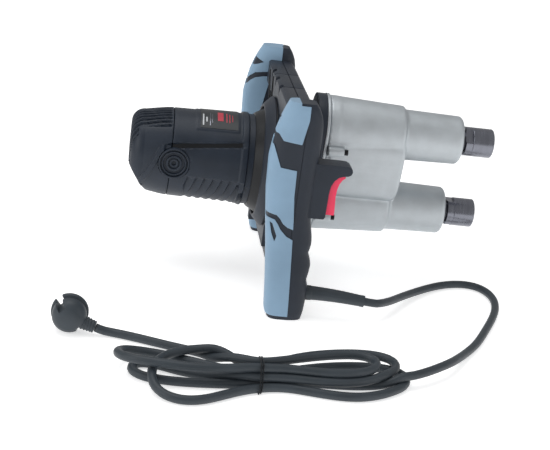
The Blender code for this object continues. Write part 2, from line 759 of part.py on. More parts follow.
def build_gearbox_housing():
    start = COVER_FRONT + GAP
    housing = slab("gearbox_housing", [lobed_outline(LOBE_R + 0.0012, 0.0360)], start, 0.0580, "cast_aluminium")
    middle = [(0.0, 0.1370), (MIDDLE_LOBE_R - 0.003, 0.1370), (MIDDLE_LOBE_R - 0.0004, 0.1340),
              (MIDDLE_LOBE_R, 0.0500), (0.0, 0.0500)]
    solids = [turned("middle_lobe", middle, None, motor_axis(), steps=28)]
    for place in (UPPER, LOWER):
        frame = along_x(at_seam(0), *place)
        lobe = [(0.0, STEP_X), (LOBE_STEP_R - 0.0015, STEP_X), (LOBE_STEP_R, STEP_X - 0.0015),
                (LOBE_R, 0.0500), (0.0, 0.0500)]
        spindle_tube = [(0.0, TUBE_END), (TUBE_TIP_R - 0.0025, TUBE_END), (TUBE_TIP_R, TUBE_END - 0.0025),
                        (TUBE_ROOT_R, 0.1200), (0.0, 0.1200)]
        solids.append(turned("spindle_lobe", lobe, None, frame, steps=28))
        solids.append(turned("spindle_tube", spindle_tube, None, frame, steps=28))
    screw_frames = [along_x(at_seam(0), *across(v, w)) for v, w in SCREW_PLACES]
    for frame in screw_frames:
        solids.append(cylinder("screw_boss", 0.0058, 0.0640, start + 0.0005, None, frame, steps=12))
    join(housing, *solids, solver="MANIFOLD")
    room = [lobed_outline(LOBE_R - 0.0050, 0.0310)]
    hollows = [slab("gear_room", room, start - 0.001, GEAR_ROOM_FRONT, None)]
    for place in (UPPER, LOWER):
        frame = along_x(at_seam(0), *place)
        hollows.append(cylinder("gear_pocket", GEAR_CAVITY_R, GEAR_POCKET_FRONT, 0.0500, None, frame))
        hollows.append(cylinder("spindle_bore", TUBE_BORE_R, 0.2200, 0.0800, None, frame))
    for place in (LAY_UPPER, LAY_LOWER):
        frame = along_x(at_seam(0), *place)
        hollows.append(cylinder("pinion_room", 0.0085, GEAR_POCKET_FRONT + 0.001, 0.0500, None, frame, steps=16))
        hollows.append(cylinder("layshaft_bore", 0.0043, 0.0960, 0.0500, None, frame, steps=16))
    for frame in screw_frames:
        hollows.append(cylinder("screw_hole", 0.0021, 0.0700, 0.0400, None, frame, steps=8))
    return cut(housing, *hollows, solver="MANIFOLD")


def build_screws():
    names = ("near_upper", "near_lower", "far_upper", "far_lower")
    for word, (v, w) in zip(names, SCREW_PLACES):
        runs = [(0.0034, 0.0683, 0.0643), (0.0018, 0.0643, 0.0450)]
        frame = along_x(at_seam(0), *across(v, w))
        screw = turned("gearbox_screw_" + word, shaft_profile(*runs), "black_steel", frame, steps=12)
        socket = cylinder("hex_socket", 0.0017, 0.0700, 0.0662, None, frame, steps=6)
        cut(screw, socket)


def gear(name, place, module, teeth, phase, rear, front, bore):
    loops = [gear_outline(place, module, teeth, phase), circle(place, bore, 16)]
    return slab(name, loops, rear, front, "gear_steel")


def build_layshafts():
    rows = (("upper", LAY_UPPER), ("lower", LAY_LOWER))
    for word, place in rows:
        runs = [(0.0038, 0.0950, 0.0850), (0.0044, 0.0850, 0.0460), (0.0040, 0.0460, 0.0355)]
        frame = along_x(at_seam(0), *place)
        shaft = turned("layshaft_" + word, shaft_profile(*runs), "gear_steel", frame, steps=16)
        teeth = gear_outline(place, COARSE_MODULE, LAYSHAFT_TEETH, LAY_PHASE)
        join(shaft, slab("layshaft_teeth", [teeth], 0.0635, 0.0840, None))
    gear("input_gear", LAY_UPPER, FINE_MODULE, INPUT_TEETH, INPUT_PHASE, 0.0470, 0.0540, 0.0048)
    transfer = (COARSE_MODULE, TRANSFER_TEETH)
    gear("transfer_gear_upper", LAY_UPPER, *transfer, UPPER_TRANSFER_PHASE, 0.0555, 0.0610, 0.0048)
    gear("transfer_gear_lower", LAY_LOWER, *transfer, LOWER_TRANSFER_PHASE, 0.0555, 0.0610, 0.0048)


def build_spindle(word, place, phase, flats_turn):
    frame = along_x(at_seam(0), *place)
    profile = [(0.0, NOSE_END - SOCKET_DEPTH), (SOCKET_R, NOSE_END - SOCKET_DEPTH + 0.002), (SOCKET_R, NOSE_END - 0.001),
               (SOCKET_R + 0.001, NOSE_END), (NOSE_R - 0.001, NOSE_END), (NOSE_R, NOSE_END - 0.001),
               (NOSE_R, NOSE_START), (0.0125, NOSE_START), (0.0125, TUBE_END + GAP), (SPINDLE_R, TUBE_END + GAP),
               (SPINDLE_R, 0.0700), (0.0, 0.0700)]
    spindle = turned("spindle_" + word, profile, "turned_steel", frame)
    for sign in (-1, 1):
        flat = box("wrench_flat", (NOSE_START - 0.001, -0.02, NOSE_FLATS / 2), (NOSE_START + 0.0085, 0.02, 0.03))
        turn = Matrix.Rotation(flats_turn + (math.pi if sign < 0 else 0.0), 4, "X")
        flat.matrix_world = Matrix.Translation((0, place[0], place[1])) @ turn @ flat.matrix_world
        cut(spindle, flat)
    gear("spindle_gear_" + word, place, COARSE_MODULE, SPINDLE_TEETH, phase, 0.0650, 0.0830, SPINDLE_R + 2 * GAP)
    fit = (TUBE_BORE_R - 2 * GAP, SPINDLE_R + 2 * GAP)
    ring("spindle_bearing_rear_" + word, *fit, 0.1010, 0.0890, "turned_steel", frame, steps=20)
    ring("spindle_bearing_front_" + word, *fit, 0.1930, 0.1810, "turned_steel", frame, steps=20)
    ring("oil_seal_" + word, *fit, 0.2025, 0.1945, "cord_rubber", frame, steps=20)


# ---- cord -------------------------------------------------------------------------------------------------------

RELIEF_ROUTE = ((0.0267, GRIP_Y, 0.0286), (0.0420, GRIP_Y, 0.0284), (0.0650, GRIP_Y, 0.0270), (0.0925, GRIP_Y, 0.0240))
CORD_ROUTE = (
    (0.0932, -0.1430, 0.0239), (0.1030, -0.1427, 0.0229), (0.1130, -0.1380, 0.0212), (0.1280, -0.1180, 0.0170),
    (0.1470, -0.0880, 0.0118), (0.1680, -0.0600, 0.0078), (0.1900, -0.0360, 0.0056), (0.2120, -0.0185, 0.0050),
    (0.2340, -0.0080, 0.0050), (0.2520, -0.0070, 0.0050), (0.2640, -0.0180, 0.0050), (0.2695, -0.0420, 0.0050),
    (0.2660, -0.0710, 0.0050), (0.2550, -0.1030, 0.0050), (0.2390, -0.1380, 0.0050), (0.2135, -0.1890, 0.0050),
    (0.1925, -0.2210, 0.0055), (0.1740, -0.2450, 0.0070), (0.1550, -0.2640, 0.0090), (0.1375, -0.2790, 0.0105),
    (0.1235, -0.2885, 0.0110),
)
TAIL_ROUTE = (
    (-0.1964, -0.2410, 0.0089), (-0.1880, -0.2415, 0.0059), (-0.1760, -0.2415, 0.0050), (-0.1610, -0.2445, 0.0050),
    (-0.1460, -0.2510, 0.0055), (-0.1345, -0.2570, 0.0060), (-0.1290, -0.2595, 0.0062),
)
HANK_OUTLINE = (
    (-0.035, -0.281), (-0.070, -0.264), (-0.100, -0.258), (-0.121, -0.266), (-0.140, -0.290), (-0.160, -0.302),
    (-0.176, -0.306), (-0.177, -0.318), (-0.152, -0.334), (-0.143, -0.352), (-0.130, -0.373), (-0.108, -0.386),
    (-0.084, -0.376), (-0.060, -0.352), (-0.035, -0.332), (0.000, -0.337), (0.050, -0.358), (0.085, -0.348),
    (0.110, -0.327), (0.121, -0.304), (0.115, -0.268), (0.092, -0.246), (0.050, -0.247), (0.010, -0.263),
    (-0.015, -0.277),
)
HANK_HEIGHT = 0.0270
TIE_X = -0.035
PLUG_PLACE = (-0.2235, -0.2375, 0.0192)
PLUG_R = 0.0190


def from_seam(points):
    return [(at_seam(x), y, z) for x, y, z in points]


def build_strain_relief():
    route = smooth_route(from_seam(RELIEF_ROUTE), 0.0075)
    last = len(route) - 1
    taper = [1.0 - 0.20 * n / last for n in range(last + 1)]
    return tube("strain_relief", route, 0.0166, "cord_rubber", resolution=3, taper=taper)


def build_cord():
    tube("cord_tube", smooth_route(from_seam(CORD_ROUTE), 0.017), CORD_DIAMETER, "cord_rubber", resolution=2)
    tube("cord_tail", smooth_route(from_seam(TAIL_ROUTE), 0.012), CORD_DIAMETER, "cord_rubber", resolution=2)
    outline = [(p.x, p.y) for p in smooth_route([(x, y, 0.0) for x, y in HANK_OUTLINE], 0.014, closed=True)]
    plate("cord_hank", [outline], HANK_HEIGHT, "cord_rubber",
          Matrix.Translation((at_seam(0), 0, HANK_HEIGHT / 2)))
    low, high = -0.3350, -0.2770
    top = HANK_HEIGHT + 0.0013
    path = [(TIE_X, low, 0.0012), (TIE_X, low, top), (TIE_X, high, top), (TIE_X, high, 0.0012)]
    tube("cord_tie", from_seam(path), 0.0014, "black_steel", resolution=1)


def build_plug():
    x, y, z = PLUG_PLACE
    frame = along_y(at_seam(x), y, z, -1)
    profile = [
        (0.0, 0.0150), (0.0080, 0.0142), (0.0140, 0.0115), (0.0172, 0.0060), (0.0176, -0.0010),
        (0.0165, -0.0025), (0.0165, -0.0050), (PLUG_R, -0.0060), (PLUG_R, -0.0110), (0.0, -0.0110),
    ]
    body = turned("plug_body", profile, "cord_rubber", frame)
    outlet = Vector((at_seam(-0.1968 - GAP), -0.2410, 0.0092))
    inward = Vector((at_seam(-0.2130), -0.2400, 0.0150))
    along = outlet - inward
    matrix = Matrix.Translation(inward) @ along.to_track_quat("Z", "Y").to_matrix().to_4x4()
    collar = turned("plug_collar", shaft_profile((0.0062, along.length, along.length - 0.003),
                                                 (0.0080, along.length - 0.003, 0.0)), None, matrix, steps=16)
    join(body, collar)
    notch = box("earth_notch", (x - 0.0040, y - 0.03, z + 0.0105), (x + 0.0040, y + 0.03, z + 0.0300))
    tilt = Matrix.Translation((at_seam(x), y, z)) @ Matrix.Rotation(math.radians(-40), 4, "Y")
    notch.matrix_world = tilt @ Matrix.Translation((-at_seam(x), -y, -z)) @ notch.matrix_world
    cut(body, notch)
    for sign, word in ((-1, "left"), (1, "right")):
        reach = math.radians(50)
        place = (at_seam(x) + sign * 0.0095 * math.cos(reach), y, z + sign * 0.0095 * math.sin(reach))
        pin = cylinder("plug_pin_" + word, 0.0024, 0.0300, 0.0110 + GAP, "nickelled_brass",
                       along_y(*place, 1), steps=16)
        bevel(pin, 0.0008, 1)


# ---- assembly ------------------------------------------------------------------------------------------------------


def main():
    clear_scene()
    make_collections()
    build_motor_housing()
    build_rear_cap()
    build_brushes()
    build_stator()
    build_rotor()
    build_fan()
    build_label()
    build_frame_half("frame_rear", False)
    build_frame_half("frame_front", True)
    build_grip_panel("grip_panel_near", -1)
    build_grip_panel("grip_panel_far", 1)
    build_hub_cone()
    build_trigger_guard()
    build_trigger()
    build_switch()
    build_bearing_shield()
    build_gearbox_cover()
    build_gearbox_housing()
    build_screws()
    build_layshafts()
    build_spindle("upper", UPPER, UPPER_GEAR_PHASE, math.radians(52))
    build_spindle("lower", LOWER, LOWER_GEAR_PHASE, 0.0)
    build_strain_relief()
    build_cord()
    build_plug()


main()
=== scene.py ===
"""Looks of the twin-spindle mixing machine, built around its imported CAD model.

Places along the tool are given in millimetres from the seam of the ring handle, heights from the floor.
"""

import json
import math

import bmesh
import bpy
import numpy as np
from mathutils import Matrix, Vector


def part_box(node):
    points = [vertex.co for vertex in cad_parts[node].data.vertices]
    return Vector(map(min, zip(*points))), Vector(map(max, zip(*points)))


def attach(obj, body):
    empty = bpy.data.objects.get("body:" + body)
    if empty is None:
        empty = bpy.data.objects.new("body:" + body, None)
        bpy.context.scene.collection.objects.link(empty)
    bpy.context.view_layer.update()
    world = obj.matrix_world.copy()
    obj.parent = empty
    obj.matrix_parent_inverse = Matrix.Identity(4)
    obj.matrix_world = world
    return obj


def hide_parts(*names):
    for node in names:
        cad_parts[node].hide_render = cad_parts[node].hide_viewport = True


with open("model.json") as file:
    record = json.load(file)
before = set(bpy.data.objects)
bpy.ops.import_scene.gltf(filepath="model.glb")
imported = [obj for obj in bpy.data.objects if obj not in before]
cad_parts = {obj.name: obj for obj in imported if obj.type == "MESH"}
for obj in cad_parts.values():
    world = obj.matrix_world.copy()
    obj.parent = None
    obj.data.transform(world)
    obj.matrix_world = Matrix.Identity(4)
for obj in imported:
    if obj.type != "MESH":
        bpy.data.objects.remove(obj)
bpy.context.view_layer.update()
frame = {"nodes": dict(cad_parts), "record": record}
NODES = frame["nodes"]

MM = 0.001
SEAM = -32.3            # X of the ring handle's parting plane in the record's frame
AXIS = 132.0            # height of the motor axis
LOBE_TURN = math.radians(-15.3)
SPINDLES = {"upper": 49.5, "lower": -49.5}
SPINDLE_OFFSET = 9.0    # how far the spindle axes stand behind the plane of the lobes
GRIP_Y = 143.0
FAR_DEPTH = 1.25        # the far grip's upper part is this many times as deep behind the seam
SIDES = ((-1, "near"), (1, "far"))
CORE = 0.02             # a turned solid's profile stops this close to its axis


def at(x, y, z):
    """World place of millimetres from the seam."""
    return Vector(((SEAM + x) * MM, y * MM, z * MM))


def across(v, w):
    """Y and Z of a place v up the plane of the lobes and w behind it, from the motor axis."""
    y = v * math.sin(LOBE_TURN) + w * math.cos(LOBE_TURN)
    return y, AXIS + v * math.cos(LOBE_TURN) - w * math.sin(LOBE_TURN)


# ---- camera, light and floor -----------------------------------------------------------------------

def make_camera():
    """A long lens on the side of the trigger grip, looking slightly down and a little rolled."""
    pitch, yaw, roll, distance = 0.323732, 0.134760, 0.139926, 1.546978
    aim = Vector((-0.0298, 0.0, 0.054175))
    forward = Vector((math.sin(yaw) * math.cos(pitch), math.cos(yaw) * math.cos(pitch), -math.sin(pitch)))
    right = Vector((math.cos(yaw), -math.sin(yaw), 0.0))
    up = Vector((math.sin(yaw) * math.sin(pitch), math.cos(yaw) * math.sin(pitch), math.cos(pitch)))
    x_axis = right * math.cos(roll) + up * math.sin(roll)
    y_axis = up * math.cos(roll) - right * math.sin(roll)
    place = aim - forward * distance
    data = bpy.data.cameras.new("camera")
    data.lens = 85.09
    data.sensor_width = 36.0
    data.clip_end = 50.0
    camera = bpy.data.objects.new("camera", data)
    camera.matrix_world = Matrix((
        (x_axis.x, y_axis.x, -forward.x, place.x),
        (x_axis.y, y_axis.y, -forward.y, place.y),
        (x_axis.z, y_axis.z, -forward.z, place.z),
        (0, 0, 0, 1)))
    bpy.context.scene.collection.objects.link(camera)
    bpy.context.scene.camera = camera


def area_light(name, place, size, watts, target=(0.0, -0.1, 0.08)):
    data = bpy.data.lights.new(name, "AREA")
    data.shape = "RECTANGLE"
    data.size, data.size_y = size
    data.energy = watts
    light = bpy.data.objects.new(name, data)
    light.location = place
    light.rotation_euler = (Vector(target) - Vector(place)).to_track_quat("-Z", "Y").to_euler()
    bpy.context.scene.collection.objects.link(light)


def make_studio():
    """An even white room, three softboxes and a pale floor that glows a little."""
    reach = 8
    world = bpy.data.worlds.new("studio")
    world.use_nodes = True
    sky = world.node_tree.nodes["Background"]
    sky.inputs["Color"].default_value = (1.0, 1.0, 1.0, 1)
    sky.inputs["Strength"].default_value = 0.44
    bpy.context.scene.world = world
    area_light("softbox_above", (-0.5, 0.1, 1.8), (1.4, 1.4), 13)
    area_light("softbox_left", (-1.6, -1.0, 0.8), (1.0, 1.0), 8)
    area_light("softbox_right", (1.5, -1.2, 0.6), (1.0, 1.0), 4)
    mat = bpy.data.materials.new("studio_floor")
    mat.use_nodes = True
    shader = mat.node_tree.nodes["Principled BSDF"]
    shader.inputs["Base Color"].default_value = (0.93, 0.93, 0.93, 1)
    shader.inputs["Roughness"].default_value = 0.9
    shader.inputs["Emission Color"].default_value = (1, 1, 1, 1)
    shader.inputs["Emission Strength"].default_value = 0.58
    corners = [(-reach, -reach, 0), (reach, -reach, 0), (reach, reach, 0), (-reach, reach, 0)]
    mesh = bpy.data.meshes.new("floor")
    mesh.from_pydata(corners, [], [(0, 1, 2, 3)])
    mesh.materials.append(mat)
    floor = bpy.data.objects.new("floor", mesh)
    bpy.context.scene.collection.objects.link(floor)
    bpy.context.scene.view_settings.view_transform = "Standard"


# ---- materials -------------------------------------------------------------------------------------

FINISHES = {}


def finish(name, colour, rough, metallic=0.0, grain=900.0, bump=0.12, vary=0.12, patch=35.0, coat=0.0,
           specular=0.5, stretch=(1.0, 1.0, 1.0), spread=0.10):
    """A procedural surface: fine moulded or machined grain, and slow changes of shade and roughness."""
    mat = bpy.data.materials.new(name)
    mat.use_nodes = True
    tree = mat.node_tree
    shader = tree.nodes["Principled BSDF"]
    shader.inputs["Metallic"].default_value = metallic
    shader.inputs["Coat Weight"].default_value = coat
    shader.inputs["Coat Roughness"].default_value = 0.25
    shader.inputs["Specular IOR Level"].default_value = specular
    coords = tree.nodes.new("ShaderNodeTexCoord")
    mapping = tree.nodes.new("ShaderNodeMapping")
    mapping.inputs["Scale"].default_value = stretch
    tree.links.new(coords.outputs["Object"], mapping.inputs["Vector"])

    def noise(scale, detail):
        node = tree.nodes.new("ShaderNodeTexNoise")
        node.inputs["Scale"].default_value = scale
        node.inputs["Detail"].default_value = detail
        tree.links.new(mapping.outputs["Vector"], node.inputs["Vector"])
        return node.outputs["Fac"]

    slow = noise(patch, 3.0)
    fine = noise(grain, 2.0)
    ramp = tree.nodes.new("ShaderNodeValToRGB")
    dark = [c * (1 - vary) for c in colour]
    light = [min(1.0, c * (1 + vary) + 0.01 * vary) for c in colour]
    ramp.color_ramp.elements[0].position = 0.30
    ramp.color_ramp.elements[1].position = 0.70
    ramp.color_ramp.elements[0].color = (*dark, 1)
    ramp.color_ramp.elements[1].color = (*light, 1)
    tree.links.new(slow, ramp.inputs["Fac"])
    tree.links.new(ramp.outputs["Color"], shader.inputs["Base Color"])
    span = tree.nodes.new("ShaderNodeMapRange")
    span.inputs["To Min"].default_value = max(0.05, rough - spread)
    span.inputs["To Max"].default_value = min(1.0, rough + spread)
    tree.links.new(slow, span.inputs["Value"])
    tree.links.new(span.outputs["Result"], shader.inputs["Roughness"])
    relief = tree.nodes.new("ShaderNodeBump")
    relief.inputs["Strength"].default_value = bump
    relief.inputs["Distance"].default_value = 0.0004
    tree.links.new(fine, relief.inputs["Height"])
    tree.links.new(relief.outputs["Normal"], shader.inputs["Normal"])
    FINISHES[name] = mat
    return mat


def make_finishes():
    """The record's material slots, and the few looks that are only used here."""
    finish("housing_plastic", (0.014, 0.021, 0.034), 0.44, grain=2200, bump=0.22, specular=0.34)
    finish("frame_plastic", (0.017, 0.023, 0.035), 0.50, grain=1800, bump=0.30, specular=0.34)
    finish("grip_rubber_blue", (0.235, 0.360, 0.490), 0.55, grain=1500, bump=0.14, vary=0.05, specular=0.30)
    finish("trigger_red", (0.880, 0.024, 0.095), 0.36, grain=1200, bump=0.04, vary=0.05, coat=0.1)
    finish("cast_aluminium", (0.500, 0.535, 0.560), 0.52, metallic=0.80, grain=1100, bump=0.34, vary=0.06,
           patch=60)
    finish("turned_steel", (0.205, 0.212, 0.245), 0.25, metallic=1.0, grain=200, bump=0.06, vary=0.08,
           stretch=(9.0, 1.0, 1.0))
    finish("gear_steel", (0.420, 0.420, 0.440), 0.34, metallic=1.0, grain=700, bump=0.10, vary=0.10)
    finish("black_steel", (0.020, 0.020, 0.022), 0.40, metallic=0.8, grain=900, bump=0.10)
    finish("copper_wire", (0.720, 0.320, 0.160), 0.38, metallic=1.0, grain=500, bump=0.25,
           stretch=(1.0, 8.0, 8.0))
    finish("carbon", (0.030, 0.030, 0.032), 0.80, grain=1400, bump=0.35)
    finish("nickelled_brass", (0.700, 0.680, 0.630), 0.22, metallic=1.0, grain=700, bump=0.05)
    finish("label_print", (0.022, 0.026, 0.030), 0.42, grain=600, bump=0.03, specular=0.4)
    finish("label_red", (0.480, 0.030, 0.055), 0.45, grain=600, bump=0.03, vary=0.06)
    finish("label_white", (0.560, 0.580, 0.600), 0.45, grain=600, bump=0.03, vary=0.06)
    finish("cord_rubber", (0.034, 0.044, 0.054), 0.48, grain=1700, bump=0.20, specular=0.40)
    # near-black for the seal, tie wire, boot and ribs, and also painted shade on the groove floors and
    # spindle necks
    finish("ring_black", (0.006, 0.007, 0.009), 0.42, grain=1500, bump=0.15, specular=0.3)


def dress_nodes():
    """Each CAD node that stays visible takes the finish of its material slot."""
    for row in frame["record"]["materials"]:
        slot = row["slot"]
        for obj in NODES.values():
            for index, held in enumerate(obj.data.materials):
                if held and held.name.split(".")[0] == slot and slot in FINISHES:
                    obj.data.materials[index] = FINISHES[slot]


# ---- mesh helpers ----------------------------------------------------------------------------------

def object_from(name, mesh):
    obj = bpy.data.objects.new(name, mesh)
    bpy.context.scene.collection.objects.link(obj)
    return obj


def cleaned(mesh, reach):
    """Corners closer than the reach become one, and the faces turn outward."""
    bm = bmesh.new()
    bm.from_mesh(mesh)
    bmesh.ops.remove_doubles(bm, verts=bm.verts, dist=reach)
    bmesh.ops.recalc_face_normals(bm, faces=bm.faces)
    bm.to_mesh(mesh)
    bm.free()
    return mesh


def from_faces(name, verts, faces):
    mesh = bpy.data.meshes.new(name)
    mesh.from_pydata([tuple(v) for v in verts], [], faces)
    return object_from(name, cleaned(mesh, 1e-6))


def turned(name, profile, centre=(0.0, AXIS), steps=96, closed=True, adjust=None, along="x"):
    """A profile of (place, radius) turned about an axis along X, or along Y for the brush caps."""
    count = len(profile)
    verts = []
    for n in range(steps):
        angle = 2 * math.pi * n / steps
        for k, (place, radius) in enumerate(profile):
            a, b = radius * math.cos(angle), radius * math.sin(angle)
            if along == "x":
                point = [place, centre[0] + a, centre[1] + b]
            else:
                point = [centre[0] + a, place, centre[1] + b]
            if adjust:
                point = adjust(k, point)
            verts.append(at(*point))
    faces = []
    for n in range(steps):
        here, following = n * count, ((n + 1) % steps) * count
        for k in range(count if closed else count - 1):
            beside = (k + 1) % count
            faces.append((here + k, here + beside, following + beside, following + k))
    return from_faces(name, verts, faces)


# turns a flat outline's X, Y and depth into Y, Z and X
UPRIGHT = Matrix(((0, 0, 1, 0), (1, 0, 0, 0), (0, 1, 0, 0), (0, 0, 0, 1)))


def outline_solid(name, loops, low, high, axis="x"):
    """A filled outline, its other loops holes, drawn out along X (outline Y, Z) or along Y (outline X, Z)."""
    data = bpy.data.curves.new(name, "CURVE")
    data.dimensions = "2D"
    data.fill_mode = "BOTH"
    data.extrude = (high - low) / 2 * MM
    for loop in loops:
        spline = data.splines.new("POLY")
        spline.points.add(len(loop) - 1)
        for point, (u, v) in zip(spline.points, loop):
            point.co = (u * MM, v * MM, 0.0, 1.0)
        spline.use_cyclic_u = True
    guide = object_from(name, data)
    middle = (low + high) / 2
    if axis == "x":
        place = Matrix.Translation(at(middle, 0, 0)) @ UPRIGHT
    else:
        place = Matrix.Translation(at(0, middle, 0)) @ Matrix.Rotation(math.pi / 2, 4, "X")
    bpy.context.view_layer.update()
    mesh = bpy.data.meshes.new_from_object(guide.evaluated_get(bpy.context.evaluated_depsgraph_get()))
    bpy.data.objects.remove(guide)
    mesh.transform(place)
    mesh.materials.clear()
    return object_from(name, cleaned(mesh, 1e-5))


def block(name, low, high):
    """A cutter between two corners."""
    xs, ys, zs = zip(low, high)
    verts = [at(x, y, z) for x in xs for y in ys for z in zs]
    faces = [(0, 1, 3, 2), (4, 6, 7, 5), (0, 4, 5, 1), (2, 3, 7, 6), (0, 2, 6, 4), (1, 5, 7, 3)]
    return from_faces(name, verts, faces)


def swing(obj, pivot, turn, axis):
    """Turns a cutter's mesh about an axis through the pivot."""
    there, back = Matrix.Translation(pivot), Matrix.Translation(-pivot)
    obj.data.transform(there @ Matrix.Rotation(turn, 4, axis) @ back)
    return obj


def bake(obj):
    """The modifiers' result becomes the mesh."""
    bpy.context.view_layer.update()
    mesh = bpy.data.meshes.new_from_object(obj.evaluated_get(bpy.context.evaluated_depsgraph_get()))
    obj.modifiers.clear()
    obj.data = mesh
    return obj


def boolean(obj, other, operation="DIFFERENCE", keep=False):
    """Cuts the object with another one, which is used up unless it is kept."""
    mod = obj.modifiers.new("boolean", "BOOLEAN")
    mod.operation = operation
    mod.solver = "MANIFOLD"
    mod.object = other
    bake(obj)
    if not keep:
        bpy.data.objects.remove(other)
    return obj


def rounded(obj, width, segments=3, angle=30.0):
    """Rounds the edges that are sharper than the angle."""
    mod = obj.modifiers.new("bevel", "BEVEL")
    mod.width = width * MM
    mod.segments = segments
    mod.limit_method = "ANGLE"
    mod.angle_limit = math.radians(angle)
    return bake(obj)


def remeshed(obj, voxel, rounds):
    """One skin over all that overlaps, with its inner corners softened as in a casting."""
    mod = obj.modifiers.new("remesh", "REMESH")
    mod.mode = "VOXEL"
    mod.voxel_size = voxel * MM
    soft = obj.modifiers.new("smooth", "SMOOTH")
    soft.factor = 0.5
    soft.iterations = rounds
    return bake(obj)


def merged(name, objects):
    """One mesh from several, where they stand."""
    bm = bmesh.new()
    for obj in objects:
        bm.from_mesh(obj.data)
        bpy.data.objects.remove(obj)
    mesh = bpy.data.meshes.new(name)
    bm.to_mesh(mesh)
    bm.free()
    return object_from(name, mesh)


def piece(obj, slot, *nodes, body="machine", look=None, sharp=35.0):
    """Gives a finished piece its finish, its body and the CAD nodes that it stands for."""
    obj.data.materials.clear()
    obj.data.materials.append(FINISHES[look or slot])
    if obj.type == "MESH":
        obj.data.shade_smooth()
        obj.data.set_sharp_from_angle(angle=math.radians(sharp))
    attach(obj, body)
    if nodes:
        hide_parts(*nodes)
    return obj


def step(edge, soft, value):
    """0 below the edge, 1 above it, over a soft width."""
    t = min(1.0, max(0.0, (value - edge) / soft + 0.5))
    return t * t * (3 - 2 * t)


def between(rows, value):
    """Straight-line lookup in rows of (place, value)."""
    places, values = zip(*rows)
    return float(np.interp(value, places, values))


# ---- cord ------------------------------------------------------------------------------------------

CORD_DIAMETER = 9.0
CORD_STEP = 5.0
CORD_EXIT = (92.6, -143, 24.0)
# the route's points; each run ends where the cord passes the tie
CORD_ROUTE = (
    # out of the sleeve, round the front and back to the tie
    (93, -143, 23.9), (103, -142.7, 22.9), (113, -138, 21.2), (128, -118, 17), (147, -88, 11.8),
    (168, -60, 7.8), (190, -36, 5.6), (212, -18.5, 5), (234, -8, 4.6), (252, -7, 4.6), (264, -18, 4.6),
    (269.5, -42, 4.6), (266, -71, 4.6), (255, -103, 4.6), (239, -138, 4.6), (214, -189, 4.6),
    (193, -221, 5.6), (180, -243, 9.5), (166, -265, 13.4), (144, -286, 13.9), (127, -299, 13.2),
    (111, -308, 10.5), (90, -314, 7), (65, -319, 4.8), (35, -320, 4.6), (5, -320, 4.6), (-15, -324, 4.6),
    (-37, -329, 4.6),
    # left loop, climbing on to the first strand
    (-55, -334, 4.6), (-69, -337, 4.6), (-93, -340, 4.6), (-114, -341, 4.6), (-133, -340, 4.6),
    (-149, -337, 4.6), (-159, -330, 4.6), (-164, -319, 4.6), (-161, -307, 4.6), (-150, -300, 4.6),
    (-133, -306, 4.6), (-114, -317, 4.6), (-93, -325, 5.5), (-68, -332, 9.5), (-37, -334, 12.4),
    # right loop, on top
    (-12, -329, 13.4), (12, -332, 13.8), (41, -332, 13.8), (67, -326, 13.8), (89, -313, 13.8),
    (104, -296, 13.8), (110, -279, 13.8), (105, -266, 13.8), (89, -260, 13.8), (64, -261, 13.6),
    (35, -268, 13.2), (8, -279, 12.8), (-15, -296, 12.6), (-37, -315, 12.4),
    # left loop, over the others and down again
    (-56, -302, 12.6), (-71, -289, 12.8), (-87, -282, 13.2), (-104, -285, 13.4), (-121, -295, 13.6),
    (-134, -311, 13.6), (-141, -332, 13.6), (-142, -350, 11), (-139, -363, 7), (-129, -374, 4.6),
    (-113, -381, 4.6), (-94, -377, 4.6), (-76, -364, 4.6), (-56, -349, 4.6), (-37, -339, 4.6),
    # right loop, on the floor
    (-11, -333, 4.6), (13, -339, 4.6), (41, -345, 4.6), (63, -344, 4.6), (87, -332, 4.6), (108, -314, 4.6),
    (119, -296, 4.6), (118, -281, 4.6), (106, -272, 4.6), (87, -270, 4.6), (61, -273, 4.6), (35, -280, 4.6),
    (8, -291, 4.6), (-13, -304, 4.6), (-37, -318, 4.6),
    # left loop, round the end of the hank
    (-57, -311, 5.5), (-78, -306, 7), (-102, -295, 6), (-119, -285, 4.8), (-141, -281, 5.2),
    (-159, -284, 8), (-171, -293, 12), (-177, -310, 16.5), (-172, -327, 20), (-157, -337, 22.5),
    (-138, -341, 23), (-116, -344, 22.8), (-96, -345, 22.4), (-68, -338, 21.4), (-37, -330, 20.2),
    # right loop, on top of the bundle
    (-13, -326, 20.6), (12, -328, 19.5), (36, -329, 19), (60, -325, 19.4), (79, -314, 20.5),
    (87, -300, 21.5), (83, -286, 22), (66, -281, 22), (44, -286, 21.5), (20, -294, 21), (-4, -304, 20.6),
    (-22, -312, 20.3), (-37, -319, 20.2),
    # down over the hank's end and along the floor to the plug
    (-54, -306, 18), (-73, -290, 14), (-91, -275, 7.5), (-111, -265, 4.8), (-131, -257, 4.6),
    (-161, -245, 4.6), (-178, -241, 4.9), (-188, -241, 6.2), (-196.4, -241, 8.9),
)


def even(points, spacing):
    """The same line with its points evenly spaced."""
    walked = np.concatenate([[0], np.cumsum(np.linalg.norm(np.diff(points, axis=0), axis=1))])
    places = np.linspace(0, walked[-1], int(round(walked[-1] / spacing)) + 1)
    return np.stack([np.interp(places, walked, points[:, axis]) for axis in range(3)], 1)


def cord_curve(knots, spacing):
    """Even points on a smooth curve through the knots."""
    padded = np.vstack([2 * knots[0] - knots[1], knots, 2 * knots[-1] - knots[-2]])
    dense = []
    for a, b, c, d in zip(padded, padded[1:], padded[2:], padded[3:]):
        for t in np.linspace(0, 1, 8, endpoint=False):
            dense.append(0.5 * (2 * b + (c - a) * t + (2 * a - 5 * b + 4 * c - d) * t * t
                                + (3 * b - a - 3 * c + d) * t ** 3))
    dense.append(knots[-1])
    return even(np.array(dense), spacing)


